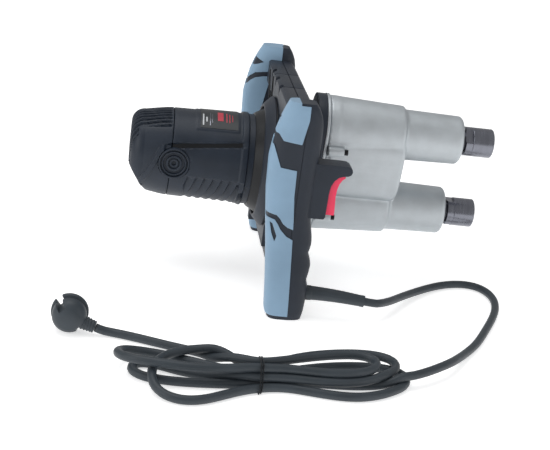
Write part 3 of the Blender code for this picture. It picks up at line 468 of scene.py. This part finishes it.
def settled(points, rounds=240, apart=9.1, pinned=4, skip=5):
    """Moves the strands a diameter apart where they cross, on the floor and without kinks."""
    home = points.copy()
    count = len(points)
    pairs = np.triu(np.ones((count, count), bool), skip)
    for _ in range(rounds):
        gap = points[:, None] - points[None]
        length = np.linalg.norm(gap, axis=2)
        i, j = np.nonzero(pairs & (length < apart))
        push = gap[i, j] * ((apart - length[i, j]) / np.maximum(length[i, j], 0.1) / 4)[:, None]
        np.add.at(points, i, push)
        np.add.at(points, j, -push)
        points[1:-1] += 0.22 * ((points[:-2] + points[2:]) / 2 - points[1:-1])
        bend = np.zeros_like(points)
        bend[2:-2] = (4 * points[1:-3] + 4 * points[3:-1] - points[:-4] - points[4:] - 6 * points[2:-2]) / 16
        points += 0.4 * bend + 0.02 * (home - points)
        points[:, 2] = np.maximum(points[:, 2], CORD_DIAMETER / 2 + 0.1)
        points[:pinned] = home[:pinned]
        points[-pinned:] = home[-pinned:]
    return even(points, CORD_STEP)


def bar(name, points, radius, radii=None, resolution=5):
    """A round bar along the points, its radius fixed or given at each of them."""
    data = bpy.data.curves.new(name, "CURVE")
    data.dimensions = "3D"
    data.bevel_depth = radius * MM
    data.bevel_resolution = resolution
    data.use_fill_caps = True
    spline = data.splines.new("POLY")
    spline.points.add(len(points) - 1)
    for n, (point, place) in enumerate(zip(spline.points, points)):
        point.co = (*at(*place), 1.0)
        if radii:
            point.radius = radii[n] / radius
    return object_from(name, data)


def make_relief():
    """The ribbed sleeve where the cord leaves the foot of the near grip."""
    collar_radius, lip_radius = 8.3, 6.6
    knots = np.array(((24.0, -143, 28.6), (42, -143, 28.4), (65, -143, 27.0), CORD_EXIT))
    route = cord_curve(knots, 0.9)
    radii = []
    for t in np.linspace(0, 1, len(route)):
        radius = 8.1 - 1.75 * t
        if t < 0.12:
            radius = collar_radius
        if t > 0.94:
            radius = lip_radius
        radii.append(radius)
    sleeve = bar("strain_relief_sleeve", route, collar_radius, radii, resolution=7)
    return piece(sleeve, "cord_rubber", "strain_relief")


def make_plug():
    """A round plug lying on its rim, with two notches and a ribbed collar for the cord."""
    x, y, z = -223.5, -237.5, 19.2
    profile = [(-15.0, 0.01), (-14.6, 6.0), (-13.0, 11.5), (-10.0, 15.0), (-6.5, 17.0), (-2.0, 17.6),
               (1.0, 17.4), (1.8, 16.2), (4.6, 16.2), (5.4, 18.6), (6.2, 19.0), (10.2, 19.0),
               (11.0, 18.2), (11.0, 0.01)]
    body = turned("plug_shell", [(y + a, r) for a, r in profile], (x, z), 64, closed=False, along="y")
    bm = bmesh.new()
    bm.from_mesh(body.data)
    bmesh.ops.holes_fill(bm, edges=bm.edges)
    bmesh.ops.recalc_face_normals(bm, faces=bm.faces)
    bm.to_mesh(body.data)
    bm.free()
    for turn, width, depth in ((-40, 4.0, 10.5), (140, 3.0, 13.6)):
        notch = block("notch", (x - width, y - 18, z + depth), (x + width, y + 14, z + 30))
        boolean(body, swing(notch, at(x, y, z), math.radians(turn), "Y"))
    rounded(body, 0.7, 2, 50)
    knots = np.array(((-214.5, -239.6, 15.8), (-208.0, -240.4, 12.9), (-197.3, -241.0, 9.3)))
    route = cord_curve(knots, 0.6)
    collar_radius, narrowing, groove = 8.2, 1.9, 0.75
    last = len(route) - 1
    radii = [collar_radius - narrowing * n / last for n in range(last + 1)]
    for n in range(3, last - 2):
        if n % 5 in (3, 4):
            radii[n] -= groove
    collar = bar("plug_collar", route, collar_radius, radii, resolution=6)
    piece(body, "cord_rubber", "plug_body")
    piece(collar, "cord_rubber")
    return body, collar


def make_tie(route):
    """A thin wire drawn twice round the bundle; each turn is the outline that holds all strands."""
    tie_x, sides, wire_radius, lowest = -36, 48, 0.65, 0.7
    wire = []
    for shift in (-1.1, 1.1):
        strands = route[np.abs(route[:, 0] - tie_x - shift) < CORD_STEP][:, 1:]
        lines = []
        for n in range(sides):
            angle = 2 * math.pi * n / sides
            way = np.array((math.cos(angle), math.sin(angle)))
            lines.append((way, (strands @ way).max() + CORD_DIAMETER / 2 + 0.5))
        turn = []
        for n, (way, reach) in enumerate(lines):
            next_way, next_reach = lines[(n + 1) % sides]
            y, z = np.linalg.solve(np.array((way, next_way)), np.array((reach, next_reach)))
            turn.append((tie_x + shift + 0.5 * math.sin(n / 8), y, max(lowest, z)))
        wire += turn + turn[:1]
    tie = bar("tie_wire", wire, wire_radius, resolution=3)
    return piece(tie, "black_steel", "cord_tie", look="ring_black")


def make_cord():
    """The mains cord with its sleeve, tie and plug."""
    route = settled(cord_curve(np.array(CORD_ROUTE, float), CORD_STEP))
    cord = bar("mains_cord", route, CORD_DIAMETER / 2)
    piece(cord, "cord_rubber", "cord_tube", "cord_tail", "cord_hank")
    make_relief()
    make_tie(route)
    shell, collar = make_plug()


# ---- motor -----------------------------------------------------------------------------------------

CAP_SPLIT, CAP_END, BRUSH_X = -131.2, -178.0, -127.2
BRUSH_SEAT_RADIUS, BRUSH_SEAT_Y = 17.7, 46.4
# rows of (place along the motor, elevation) for the two edges of the groove moulded along the shell
GROOVE_TOP = ((-141, 20), (-135, 25), (-118, 28), (-87, 31), (-50, 36))
GROOVE_LOW = ((-141, 12), (-139, 14), (-131.5, 19), (-117, 21), (-86, 25), (-50, 29))
# rows of (elevation, place along the motor) for the two edges of the raised strip that goes on over the cap
STRIP_REAR = ((-60, -170), (-27, -163), (-11, -156), (5, -150), (18, -145), (24, -139))
STRIP_FRONT = ((-60, -166), (-37, -160), (-16, -152), (0, -146), (14, -139), (20, -132))
LOUVRE_PITCH, LOUVRE_DEPTH = 9.65, 3.4
RIB_PITCH, RIB_DEPTH = 5.0, 2.6


def motor_radius(x):
    """The shell widens a little toward the handle."""
    return 50.8 + 1.7 * (x + 131) / 78


def elevation(y, z):
    """Degrees above the side of the motor, the same on both sides."""
    return math.degrees(math.atan2(z - AXIS, abs(y)))


def line_relief(x, e):
    """Height of the strip over the cap, less the depth of the groove along the motor."""
    groove_depth, strip_height = 2.4, 2.2
    height = 0.0
    if x > -141 and e > 0:
        inside = step(between(GROOVE_LOW, x), 2.2, e) * (1 - step(between(GROOVE_TOP, x), 2.2, e))
        height -= groove_depth * inside * (1 - step(-51, 1.5, x)) * step(-139, 2.0, x)
    if x < -131 and -52 < e < 24:
        rear, front = between(STRIP_REAR, e), between(STRIP_FRONT, e)
        height += strip_height * step(rear, 1.2, x) * (1 - step(front, 1.2, x)) * step(-50, 3.0, e)
    return height


def shell_relief(x, e):
    """The motor shell's moulded detail: groove, label pad and slanted cooling louvres."""
    pad_height, slant = 0.6, 0.23
    height = line_relief(x, e)
    height += pad_height * step(48, 2.5, e) * step(-106, 1.6, x) * (1 - step(-56.5, 1.6, x))
    if e < -12:
        window = step(17, 4, -e) * step(-113, 2, x) * (1 - step(-40.5, 2, x)) * (1 - step(84, 4, -e))
        phase = ((x + 101 - slant * (e + 16)) / LOUVRE_PITCH) % 1.0
        height -= LOUVRE_DEPTH * window * (1 - phase) * step(0.05, 0.08, phase)
    return height


def cap_relief(x, y, e):
    """The cap's moulded detail: strip, groove, and ribs in planes along the tool."""
    height = line_relief(x, e)
    lowest = 49 if x > -170 else -20
    if e > lowest - 4 and abs(y) < 36.5 and x < -132.5:
        wave = 0.5 + 0.5 * math.cos(2 * math.pi * (y / RIB_PITCH + 0.5))
        height -= RIB_DEPTH * step(0.42, 0.5, wave) * (1 - step(-133.5, 1.5, x)) * step(lowest, 6, e)
    return height


def moulded(name, outer, inner, relief, steps=300):
    """A turned shell with relief on its outer surface, set back flat round the brush caps and cut off
    obliquely below its rear end."""
    slopes = []
    for n in range(len(outer)):
        (x0, r0), (x1, r1) = outer[max(0, n - 1)], outer[min(len(outer) - 1, n + 1)]
        size = math.hypot(x1 - x0, r1 - r0) or 1.0
        slopes.append(((r0 - r1) / size, (x1 - x0) / size))

    def adjust(k, point):
        if k >= len(outer):
            return point
        x, y, z = point
        radius = math.hypot(y, z - AXIS)
        height = relief(x, y, elevation(y, z))
        nx, nr = slopes[k]
        if nr < 0:
            nx, nr = -nx, -nr
        if nx > 0 and x < -150:
            nx = -nx
        grown = max(0.05, radius + height * nr) / max(radius, 0.05)
        x, y, z = x + height * nx, y * grown, AXIS + (z - AXIS) * grown
        if math.hypot(x - BRUSH_X, z - AXIS) < BRUSH_SEAT_RADIUS:
            y = max(-BRUSH_SEAT_Y, min(BRUSH_SEAT_Y, y))
        return [x, y, z]

    def sloped(k, point):
        x, y, z = adjust(k, point)
        below = AXIS - 8 - z
        wall = 3.0 if k >= len(outer) else 0.0
        if x < -150 and below > 0:
            x = max(x, CAP_END + 0.62 * below + wall)
        return [x, y, z]

    return turned(name, outer + inner, steps=steps, adjust=sloped)


def make_motor():
    """The shell with its front collar, the louvred end cap, and the rings round the brush caps."""
    outer = [(CAP_SPLIT + 0.35, 49.8), (CAP_SPLIT + 0.7, 50.5)]
    outer += [(x, motor_radius(x)) for x in np.arange(-130, -53.4, 0.9)]
    outer += [(-53.2, 52.6), (-52.6, 53.6), (-52.0, 54.2), (-51.0, 54.3), (-46.5, 54.3), (-45.6, 54.1),
              (-45.0, 53.4), (-44.6, 52.5), (-30.0, 52.5), (17.8, 52.5)]
    inner = [(17.8, 49.2), (-60.0, 49.2), (CAP_SPLIT + 0.35, 46.6)]
    shell = moulded("motor_shell", outer, inner, lambda x, y, e: shell_relief(x, e))
    piece(shell, "housing_plastic", "motor_housing", sharp=40)

    shoulder = [(CAP_END + 15 - 15 * math.sin(a), 31.5 + 14.5 * math.cos(a))
                for a in np.linspace(0, math.pi / 2, 26)]
    outer = [(CAP_SPLIT - 0.05, 49.9), (CAP_SPLIT - 0.5, 50.7)]
    outer += [(x, 50.8 - 4.8 * ((-132.5 - x) / 30) ** 1.3) for x in np.arange(-132.5, -162.6, -0.9)]
    outer += shoulder + [(CAP_END, r) for r in np.arange(30.5, 0.4, -1.0)] + [(CAP_END, 0.02)]
    inner = [(-175.0, 0.02), (-175.0, 13.4), (-148.0, 13.4), (-148.0, 17.0), (-175.0, 17.0),
             (-175.0, 30.0), (-170.0, 38.0), (-161.0, 42.5), (CAP_SPLIT - 0.05, 47.0)]
    cap = moulded("motor_end_cap", outer, inner, cap_relief)
    piece(cap, "housing_plastic", "rear_cap", sharp=40)
    seal = turned("parting_seal", [(-135.0, 45.2), (-135.0, 46.3), (-127.0, 46.3), (-127.0, 45.2)], steps=128)
    piece(seal, "housing_plastic", look="ring_black")

    rows = ((44.6, 0.02), (47.0, 0.02), (47.0, 2.2), (49.3, 2.6), (49.6, 3.2), (49.6, 4.6), (49.3, 5.0),
            (48.2, 5.2), (48.2, 6.2), (50.0, 6.6), (50.3, 7.0), (50.3, 8.4), (50.0, 8.9), (47.9, 9.2),
            (47.9, 11.9), (50.2, 12.3), (50.5, 12.7), (50.5, 13.5), (50.2, 13.9), (48.2, 14.2),
            (48.2, 15.2), (50.8, 15.6), (51.1, 16.0), (51.1, 17.0), (50.7, 17.6), (46.0, 17.8), (44.6, 17.8))
    for side, word in SIDES:
        profile = [(side * y, r) for y, r in rows]
        rings = turned("brush_cap_rings_" + word, profile, (BRUSH_X, AXIS), 96, along="y")
        piece(rings, "housing_plastic", "brush_cap_" + word)


def curved_patch(name, x0, x1, low, high, lift, thick, look, *nodes, side=-1):
    """A thin plate bent round the motor between two elevations, or between two rows of (x, elevation)."""
    shaped = isinstance(low, tuple)
    columns = max(2, int((x1 - x0) / 2))
    rows = 8 if shaped else max(2, int((high - low) / 2))
    verts, faces = [], []
    for outer in (0, 1):
        for i in range(rows + 1):
            for j in range(columns + 1):
                x = x0 + (x1 - x0) * j / columns
                lower, upper = (between(low, x), between(high, x)) if shaped else (low, high)
                angle = math.radians(lower + (upper - lower) * i / rows)
                radius = motor_radius(x) + lift + thick * outer
                verts.append(at(x, side * radius * math.cos(angle), AXIS + radius * math.sin(angle)))
    wide = columns + 1
    layer = wide * (rows + 1)
    for i in range(rows):
        for j in range(columns):
            a = i * wide + j
            faces.append((a, a + 1, a + wide + 1, a + wide))
            faces.append((layer + a, layer + a + wide, layer + a + wide + 1, layer + a + 1))
    edge = list(range(wide)) + [i * wide + columns for i in range(1, rows + 1)]
    edge += [rows * wide + j for j in range(columns - 1, -1, -1)] + [i * wide for i in range(rows - 1, 0, -1)]
    for a, b in zip(edge, edge[1:] + edge[:1]):
        faces.append((a, b, layer + b, layer + a))
    return piece(from_faces(name, verts, faces), "label_print", *nodes, look=look)


def make_label():
    """The label with plain bars in place of print, and black sheets on the floors of the two grooves as
    painted shade.
    """
    curved_patch("label_sheet", -101, -58.5, 51, 128, 0.65, 0.35, "label_print", "label_plate")
    marks = (("white_bar", -99.0, -97.4, 55, 77, "label_white"),
             ("white_bar_short", -95.2, -93.6, 61, 70, "label_white"),
             ("grey_line_a", -90.8, -90.0, 55, 80, "turned_steel"),
             ("grey_line_b", -88.4, -87.7, 60, 78, "turned_steel"),
             ("red_block", -82.0, -75.5, 64, 84, "label_red"),
             ("red_line_a", -72.2, -71.0, 62, 82, "label_red"),
             ("red_line_b", -68.8, -67.8, 62, 80, "label_red"),
             ("red_line_c", -65.4, -64.6, 64, 78, "label_red"))
    for name, x0, x1, low, high, look in marks:
        curved_patch("label_" + name, x0, x1, low, high, 1.02, 0.16, look)
    # a black sheet on each groove's floor: painted shade in the groove
    for side, word in SIDES:
        curved_patch("groove_inlay_" + word, -130.4, -51.6, GROOVE_LOW, GROOVE_TOP, -2.3, 0.5,
                     "ring_black", side=side)


# ---- handle ----------------------------------------------------------------------------------------

# a grip's reach behind and before the parting plane, and half its width, in rows of (height, reach)
REAR_FACE = ((0, 13), (6, 16), (40, 19), (80, 23.5), (110, 27.5), (145, 31.5), (180, 33), (205, 30),
             (224, 25), (236, 20.5), (241, 18))
FRONT_FACE = ((0, 24.5), (8, 26.2), (17.6, 26.8), (27, 27.3), (35, 27.6), (40, 26.6), (46, 24.7), (54, 26.2),
              (63.4, 27), (71, 25), (77, 22.5), (83, 24), (88.5, 24.6), (97, 23.6), (105, 21.8), (114, 20),
              (119, 19), (205, 19.4), (219, 18.8), (228, 16.8), (236, 13), (241, 9))
HALF_WIDTH = ((0, 15), (6, 16.5), (40, 17), (80, 17.2), (205, 17.2), (224, 16.5), (236, 14.5), (241, 11))
# blue skin of the outer faces: main panel, top patch, and the dark stripes let into it (X, Z)
OUTER_MAIN = ((8.0, 4.5), (7.3, 18), (4.2, 60), (1.4, 96), (-0.2, 115), (-3.2, 142), (-4.2, 170),
              (-21.5, 171.5), (-30.8, 194), (-50, 196), (-50, 4.5))
OUTER_TOP = ((-2.7, 198.6), (1.9, 225), (1.9, 238.6), (0.5, 245), (-50, 245), (-50, 208), (-27.3, 207),
             (-22.1, 200.5))
OUTER_STRIPE = ((-50, 121), (-26, 120), (-18.8, 119.3), (-14.5, 115.5), (-11.1, 110.6), (-6, 107),
                (0.4, 104.9), (12, 103), (12, 91), (2.1, 92.9), (-5.5, 96.5), (-12.7, 103.5), (-16.5, 109.5),
                (-20, 113.8), (-25.3, 114.6), (-50, 115))
OUTER_DIAMOND = ((-24.8, 110.5), (-22, 109.4), (-15.9, 95.6), (-17.4, 89.3), (-21.5, 98))
# the same for the faces that look at the motor
INNER_MAIN = ((2, 4.5), (0, 60), (-8, 110), (-16, 150), (-19, 161), (-17, 173), (-15, 186), (-12.2, 200),
              (-12, 218), (-0.5, 226), (-0.3, 245), (-60, 245), (-60, 4.5))
INNER_TRIANGLE = ((-60, 229), (-34.2, 227.1), (-21.8, 221.5), (-39.3, 213.1), (-60, 206))
INNER_STRIPE = ((-8, 211.3), (-12.3, 210.8), (-22, 209.5), (-31.1, 207.5), (-36.8, 202.2), (-41.6, 194.5),
                (-60, 176), (-60, 166), (-42.8, 185.5), (-36, 196.3), (-30.2, 201.1), (-21.3, 203.9),
                (-11.5, 205), (-8, 205))
GRIP_TOP = 236          # above this the grip closes to its domed end
GRIP_EDGE = 3.0         # exponent of the squarish section; 2 would be an ellipse
SWITCH_ROOM = ((2, -155, 123), (30, -131, 176))


def eased(rows, heights, reach=3.0):
    """The rows' values at each height, their corners softened."""
    spread = np.linspace(-reach, reach, 9)
    return np.mean([np.interp(heights + s, *zip(*rows)) for s in spread], axis=0)


def grip_body(name, side, grow, sides=88):
    """A grip as one lofted body: squarish sections, finger hollows down its front."""
    heights = np.concatenate([np.arange(0.0, GRIP_TOP, 2.0), [236.0, 238.2, 239.8, 240.6, 241.0]])
    rear = eased(REAR_FACE, heights)
    if side > 0:
        rear *= np.interp(heights, (0, 40, 90, 140), (0.75, 0.75, 1.0, FAR_DEPTH))
    front = eased(FRONT_FACE, heights, 1.5)
    half = eased(HALF_WIDTH, heights)
    verts, faces = [], []
    for z, back, fore, width in zip(heights, rear, front, half):
        for n in range(sides):
            angle = 2 * math.pi * n / sides
            c, s = math.cos(angle), math.sin(angle)
            shape = (abs(c) ** GRIP_EDGE + abs(s) ** GRIP_EDGE) ** (-1 / GRIP_EDGE)
            x = c * shape * ((fore if c > 0 else back) + grow)
            y = side * (GRIP_Y + s * shape * (width + grow))
            verts.append(at(x, y, z + (grow * 0.3 if z > GRIP_TOP else 0.0)))
    for k in range(len(heights) - 1):
        here, above = k * sides, (k + 1) * sides
        for n in range(sides):
            following = (n + 1) % sides
            faces.append((here + n, here + following, above + following, above + n))
    faces.append(tuple(range(sides)))
    faces.append(tuple(range((len(heights) - 1) * sides, len(heights) * sides)))
    return from_faces(name, verts, faces)


def blue_skin(name, side, core):
    """The soft skin: the grip grown a little, kept inside its pattern, less the grip itself."""
    thickness, reach = 0.9, 27.0
    patterns = ((GRIP_Y, GRIP_Y + reach, (OUTER_MAIN, OUTER_TOP), (OUTER_STRIPE, OUTER_DIAMOND)),
                (GRIP_Y - reach, GRIP_Y, (INNER_MAIN,), (INNER_TRIANGLE, INNER_STRIPE)))
    patches = []
    for start, end, loops, cuts in patterns:
        low, high = sorted((side * start, side * end))
        for loop in loops:
            skin = grip_body("skin", side, thickness)
            boolean(skin, outline_solid("keep", [loop], low, high, "y"), "INTERSECT")
            if side < 0 and loop is not OUTER_MAIN:
                boolean(skin, block("top_limit", (-8.0, -170, 238.6), (30, -110, 250)))
            for cut in cuts:
                boolean(skin, outline_solid("dark", [cut], low - 0.5, high + 0.5, "y"))
            boolean(skin, core, keep=True)
            patches.append(skin)
    node = "grip_panel_near" if side < 0 else "grip_panel_far"
    return piece(merged(name, patches), "grip_rubber_blue", node, sharp=30)


def arc(cy, cz, radius, start, end, steps):
    """Points on an arc, its ends in degrees."""
    return [(cy + radius * math.cos(math.radians(a)), cz + radius * math.sin(math.radians(a)))
            for a in np.linspace(start, end, steps + 1)]


def make_halves():
    """The hub ring and the two bridges, parted between the rear and the front moulding."""
    outer = [(-140, 16), (140, 16), (140, 226), (-140, 226)]
    opening = [(137.5, 200), (137.5, 40), (42.5, 40)] + arc(0, AXIS, 78, -57, 60, 40) + [(39, 200)]
    holes = [opening, [(-y, z) for y, z in opening], arc(0, AXIS, 52.8, 0, 357.5, 143)]
    for word, low, high in (("rear", -16.0, -0.45), ("front", 0.45, 18.0)):
        half = outline_solid("handle_half_" + word, [outer] + holes, low, high)
        if word == "rear":
            for y, lean in ((62, 16), (22, 12), (-20, 10)):
                notch = [(y - 4, 230), (y + 12, 230), (y + lean, 213)]
                boolean(half, outline_solid("notch", [notch], -20, -11.5))
        for y in (50, -18):
            boolean(half, block("groove", (-22, y - 1.0, 223.4), (24, y + 1.0, 240)))
            boolean(half, block("groove", (16.6, y - 1.0, 190), (24, y + 1.0, 240)))
        if word == "front":
            boolean(half, outline_solid("facet", [[(9.5, 228), (20, 228), (20, 215)]], -141, 141, "y"))
            for z0, z1 in ((18.5, 37.0), (203.0, 214.0)):
                for y0, y1 in ((-112, -23), (-12, 44), (56, 112)):
                    boolean(half, block("panel", (16.9, y0, z0), (24, y1, z1)))
            boolean(half, block("switch_room", *SWITCH_ROOM))
        else:
            boolean(half, outline_solid("facet", [[(-11.5, 228), (-20, 228), (-20, 220)]], -141, 141, "y"))
            boolean(half, block("slim_bridge", (-20, -126, 10), (-6, 126, 41)))
        rounded(half, 1.8, 3, 40)
        piece(half, "frame_plastic", "frame_" + word, sharp=30)


def make_grips():
    """The two grips with their soft skins; the near one holds the switch."""
    for side, word in SIDES:
        core = grip_body("grip_body_" + word, side, 0.0)
        blue_skin("grip_skin_" + word, side, core)
        if side < 0:
            boolean(core, block("switch_room", *SWITCH_ROOM))
            boolean(core, block("seam", (-0.25, -180, -5), (0.25, -158.5, 236)))
        piece(core, "frame_plastic", sharp=40)


def make_ribs():
    """Two thin ribs running down the rear of the upper bridge to the hub ring."""
    for n, (y0, y1) in enumerate(((96, 70), (58, 46))):
        knots = np.array(((-16.3, y0, 220), (-16.5, y0 - 6, 208), (-16.6, y1, 192), (-16.6, y1 - 2, 180)))
        rib = bar("bridge_rib_%d" % n, cord_curve(knots, 2.0), 1.1)
        piece(rib, "frame_plastic", look="ring_black")


def make_hub():
    """The collar behind the handle and the boot that closes it round the motor."""
    collar = [(-17.8, 75.4), (-19.0, 75.6), (-20.2, 75.0), (-27.8, 67.0), (-29.2, 65.0), (-29.4, 63.8),
              (-28.6, 62.9), (-27.0, 62.8), (-20.5, 66.5), (-17.8, 70.0)]
    piece(turned("hub_collar", collar, steps=160), "frame_plastic", "hub_cone", sharp=30)
    boot = [(-16.3, 73.6), (-18.2, 73.4), (-24.0, 62.6), (-30.0, 58.6), (-35.0, 56.2), (-38.0, 54.2),
            (-38.4, 53.0), (-16.3, 53.0)]
    piece(turned("hub_boot", boot, steps=128), "frame_plastic", look="ring_black")


# ---- switch ----------------------------------------------------------------------------------------

def pin(name, start, end, radius, centre, steps):
    """A round cutter or post along X."""
    return turned(name, [(start, CORE), (start, radius), (end, radius), (end, CORE)], centre, steps)


def make_switch():
    """The guard that holds the switch, and the red paddle in it."""
    spring = (-GRIP_Y, 140)
    outline = [(12, 118), (30.5, 118), (32.7, 118.8), (33.6, 121), (34.0, 148), (35.2, 156), (38.0, 161.6),
               (42, 165.6), (46.5, 167.4), (51.5, 168.0), (54.8, 169.8), (56.0, 173.0), (55.0, 176.4),
               (51.4, 178.2), (46, 178.6), (12, 178.6)]
    guard = outline_solid("guard_shell", [outline], -156, -131.5, "y")
    rounded(guard, 2.2, 4, 25)
    boolean(guard, block("switch_room", (2, -154.8, 119), (18.6, -131.8, 176)))
    boolean(guard, block("trigger_room", (23.5, -151.8, 120.5), (60, -134.2, 166.4)))
    boolean(guard, pin("spring_hole", 10, 30, 4.2, spring, 32))
    piece(guard, "frame_plastic", "trigger_guard", sharp=32)
    outline = [(30.5, 122.5), (43.2, 122.5), (43.3, 126), (42.8, 134), (42.2, 143), (42.6, 151),
               (44.2, 157.5), (46.8, 162), (50.2, 165.2), (49, 166), (37, 166), (30.5, 164)]
    button = outline_solid("trigger_paddle", [outline], -151.5, -134.5, "y")
    boolean(button, pin("spring_pocket", 25, 38.5, 4.2, spring, 32))
    rounded(button, 1.1, 3, 30)
    piece(button, "trigger_red", "trigger", body="trigger_button", sharp=30)


# ---- gearbox ---------------------------------------------------------------------------------------

# places of the casting's screws: up the plane of the lobes and behind it
SCREW_PLACES = ((41, -32), (-49, -31), (30, 43), (-30, 43))
CASTING_START = 44.3
RIM_RIBS = 84


def lobed(radius, middle):
    """The gearbox outline: a lobe round each spindle axis and a bulge between them on the near side."""
    offset, reach = SPINDLE_OFFSET, SPINDLES["upper"]
    upper = [across(reach + radius * math.cos(t), offset + radius * math.sin(t))
             for t in np.radians(np.linspace(90, -90, 37))]
    lower = [across(-reach - radius * math.cos(t), offset + radius * math.sin(t))
             for t in np.radians(np.linspace(-90, 90, 37))]
    side = [across(middle * math.sin(t), -middle * math.cos(t)) for t in np.radians(np.linspace(35, -35, 15))]
    return upper + side + lower


def layshaft_axis(word):
    """Y and Z of a layshaft's axis, from the frame."""
    low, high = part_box("layshaft_" + word)
    return (low.y + high.y) / 2 / MM, (low.z + high.z) / 2 / MM


def ribbed(k, point):
    """Fine ribs round the rim of the drum."""
    x, y, z = point
    if k in (2, 3, 4):
        wave = 0.5 + 0.5 * math.cos(RIM_RIBS * math.atan2(z - AXIS, y))
        scale = 1 - 0.030 * step(0.35, 0.3, wave)
        return [x, y * scale, AXIS + (z - AXIS) * scale]
    return point


def make_shield():
    """The ribbed drum in front of the handle and the flare that leads from it to the gearbox."""
    profile = [(18.3, 70.0), (19.6, 71.4), (21.0, 72.0), (27.0, 72.0), (33.0, 72.0), (34.6, 71.0),
               (36.4, 69.0), (36.4, 48.0), (22.5, 48.0), (22.5, 16.2), (34.4, 16.2), (34.4, 7.5),
               (34.0, 7.4), (21.0, 7.4), (18.3, 47.0)]
    drum = turned("shield_drum", profile, steps=840, adjust=ribbed)
    flare = outline_solid("shield_flare", [lobed(38.0, 39.0)], 30.0, 40.2)
    rounded(flare, 5.0, 5, 60)
    boolean(flare, pin("drum_room", 20, 36.0, 47.5, (0.0, AXIS), 64))
    boolean(flare, pin("rotor_bore", 20, 50, 7.6, (0.0, AXIS), 48))
    for word in SPINDLES:
        boolean(flare, pin("seat", 30, 50, 4.6, layshaft_axis(word), 32))
    piece(drum, "housing_plastic", "bearing_shield", look="frame_plastic", sharp=40)
    piece(flare, "housing_plastic", sharp=30)


def make_cover():
    """The thin plate between the flare and the casting."""
    cover = outline_solid("cover_plate", [lobed(38.6, 39.6), arc(0, AXIS, 7.6, 0, 350, 35)], 40.6, 43.8)
    rounded(cover, 0.4, 2, 50)
    piece(cover, "cast_aluminium", "gearbox_cover", sharp=30)


def make_casting():
    """Lobes, tubes and screw bosses grown into one casting, then hollowed for the gears."""
    start = CASTING_START
    solids = [outline_solid("flange", [lobed(36.9, 36.0)], start, 56.0)]
    middle = [(50, CORE), (50, 32.5), (134, 32.1), (137, 29.5), (137, CORE)]
    for v, w in ((0, 0), (9, 0.6), (18, 1.4), (26, 2.4), (33, 3.6)):
        profile = [(x, max(CORE, r - w * 0.25)) for x, r in middle]
        solids.append(turned("middle", profile, across(v, w * 0.6), steps=96))
    lobe = [(45, CORE), (45, 37.0), (132.6, 33.2), (134, 31.6), (134, CORE)]
    tube = [(120, CORE), (120, 29.8), (201.0, 28.2), (204, 25.4), (204, CORE)]
    for v in SPINDLES.values():
        solids.append(turned("lobe", lobe, across(v, SPINDLE_OFFSET), 112))
        solids.append(turned("tube", tube, across(v, SPINDLE_OFFSET), 112))
    boss = [(start + 0.4, CORE), (start + 0.4, 6.0), (64, 5.7), (64, CORE)]
    solids += [turned("boss", boss, across(v, w), 40) for v, w in SCREW_PLACES]
    casting = remeshed(merged("gearbox_casting", solids), 1.25, 9)

    hollow = [outline_solid("room", [lobed(31.5, 31.0)], start - 3, 62.0)]
    for v in SPINDLES.values():
        hollow.append(pin("gear_room", 50, 86, 28.5, across(v, SPINDLE_OFFSET), 64))
        hollow.append(pin("bore", 80, 220, 19.0, across(v, SPINDLE_OFFSET), 64))
    hollow += [pin("pinion_room", 50, 97, 8.5, layshaft_axis(word), 32) for word in SPINDLES]
    hollow += [pin("screw_hole", 40, 70, 2.1, across(v, w), 24) for v, w in SCREW_PLACES]
    for cutter in hollow:
        boolean(casting, cutter)
    piece(casting, "cast_aluminium", "gearbox_housing", sharp=45)


def make_spindles():
    """The two noses with their paddle sockets and wrench flats, and a black ring on the neck behind each as
    painted shade.
    """
    profile = [(216.6, CORE), (218.6, 6.9), (241.4, 6.9), (242.4, 8.0), (242.6, 8.2), (242.6, 15.8),
               (242.2, 16.5), (241.2, 17.1), (218.0, 17.1), (217.6, 16.8), (217.2, 17.1), (209.4, 17.1),
               (208.6, 16.2), (208.5, 15.6), (208.5, 12.4), (204.3, 12.4), (204.3, 10.0), (70.0, 10.0),
               (70.0, CORE)]
    neck = [(204.9, 12.5), (205.2, 13.0), (207.6, 13.0), (207.9, 12.5)]
    flat_turn = {"upper": math.radians(52), "lower": 0.0}
    for word, v in SPINDLES.items():
        y, z = centre = across(v, SPINDLE_OFFSET)
        body = "spindle_" + word + "_set"
        nose = turned("spindle_nose_" + word, profile, centre, 112)
        for flip in (0.0, math.pi):
            flat = block("flat", (207.5, y - 22, z + 14.6), (217.2, y + 22, z + 30))
            boolean(nose, swing(flat, at(0, y, z), flat_turn[word] + flip, "X"))
        piece(nose, "turned_steel", "spindle_" + word, body=body, sharp=28)
        # a thin black sleeve on the recessed neck floor: painted shade of the neck
        ring = turned("spindle_neck_" + word, neck, centre, 64)
        piece(ring, "turned_steel", body=body, look="ring_black")


make_camera()
make_studio()
make_finishes()
dress_nodes()
make_cord()
make_motor()
make_label()
make_halves()
make_grips()
make_ribs()
make_hub()
make_switch()
make_shield()
make_cover()
make_casting()
make_spindles()
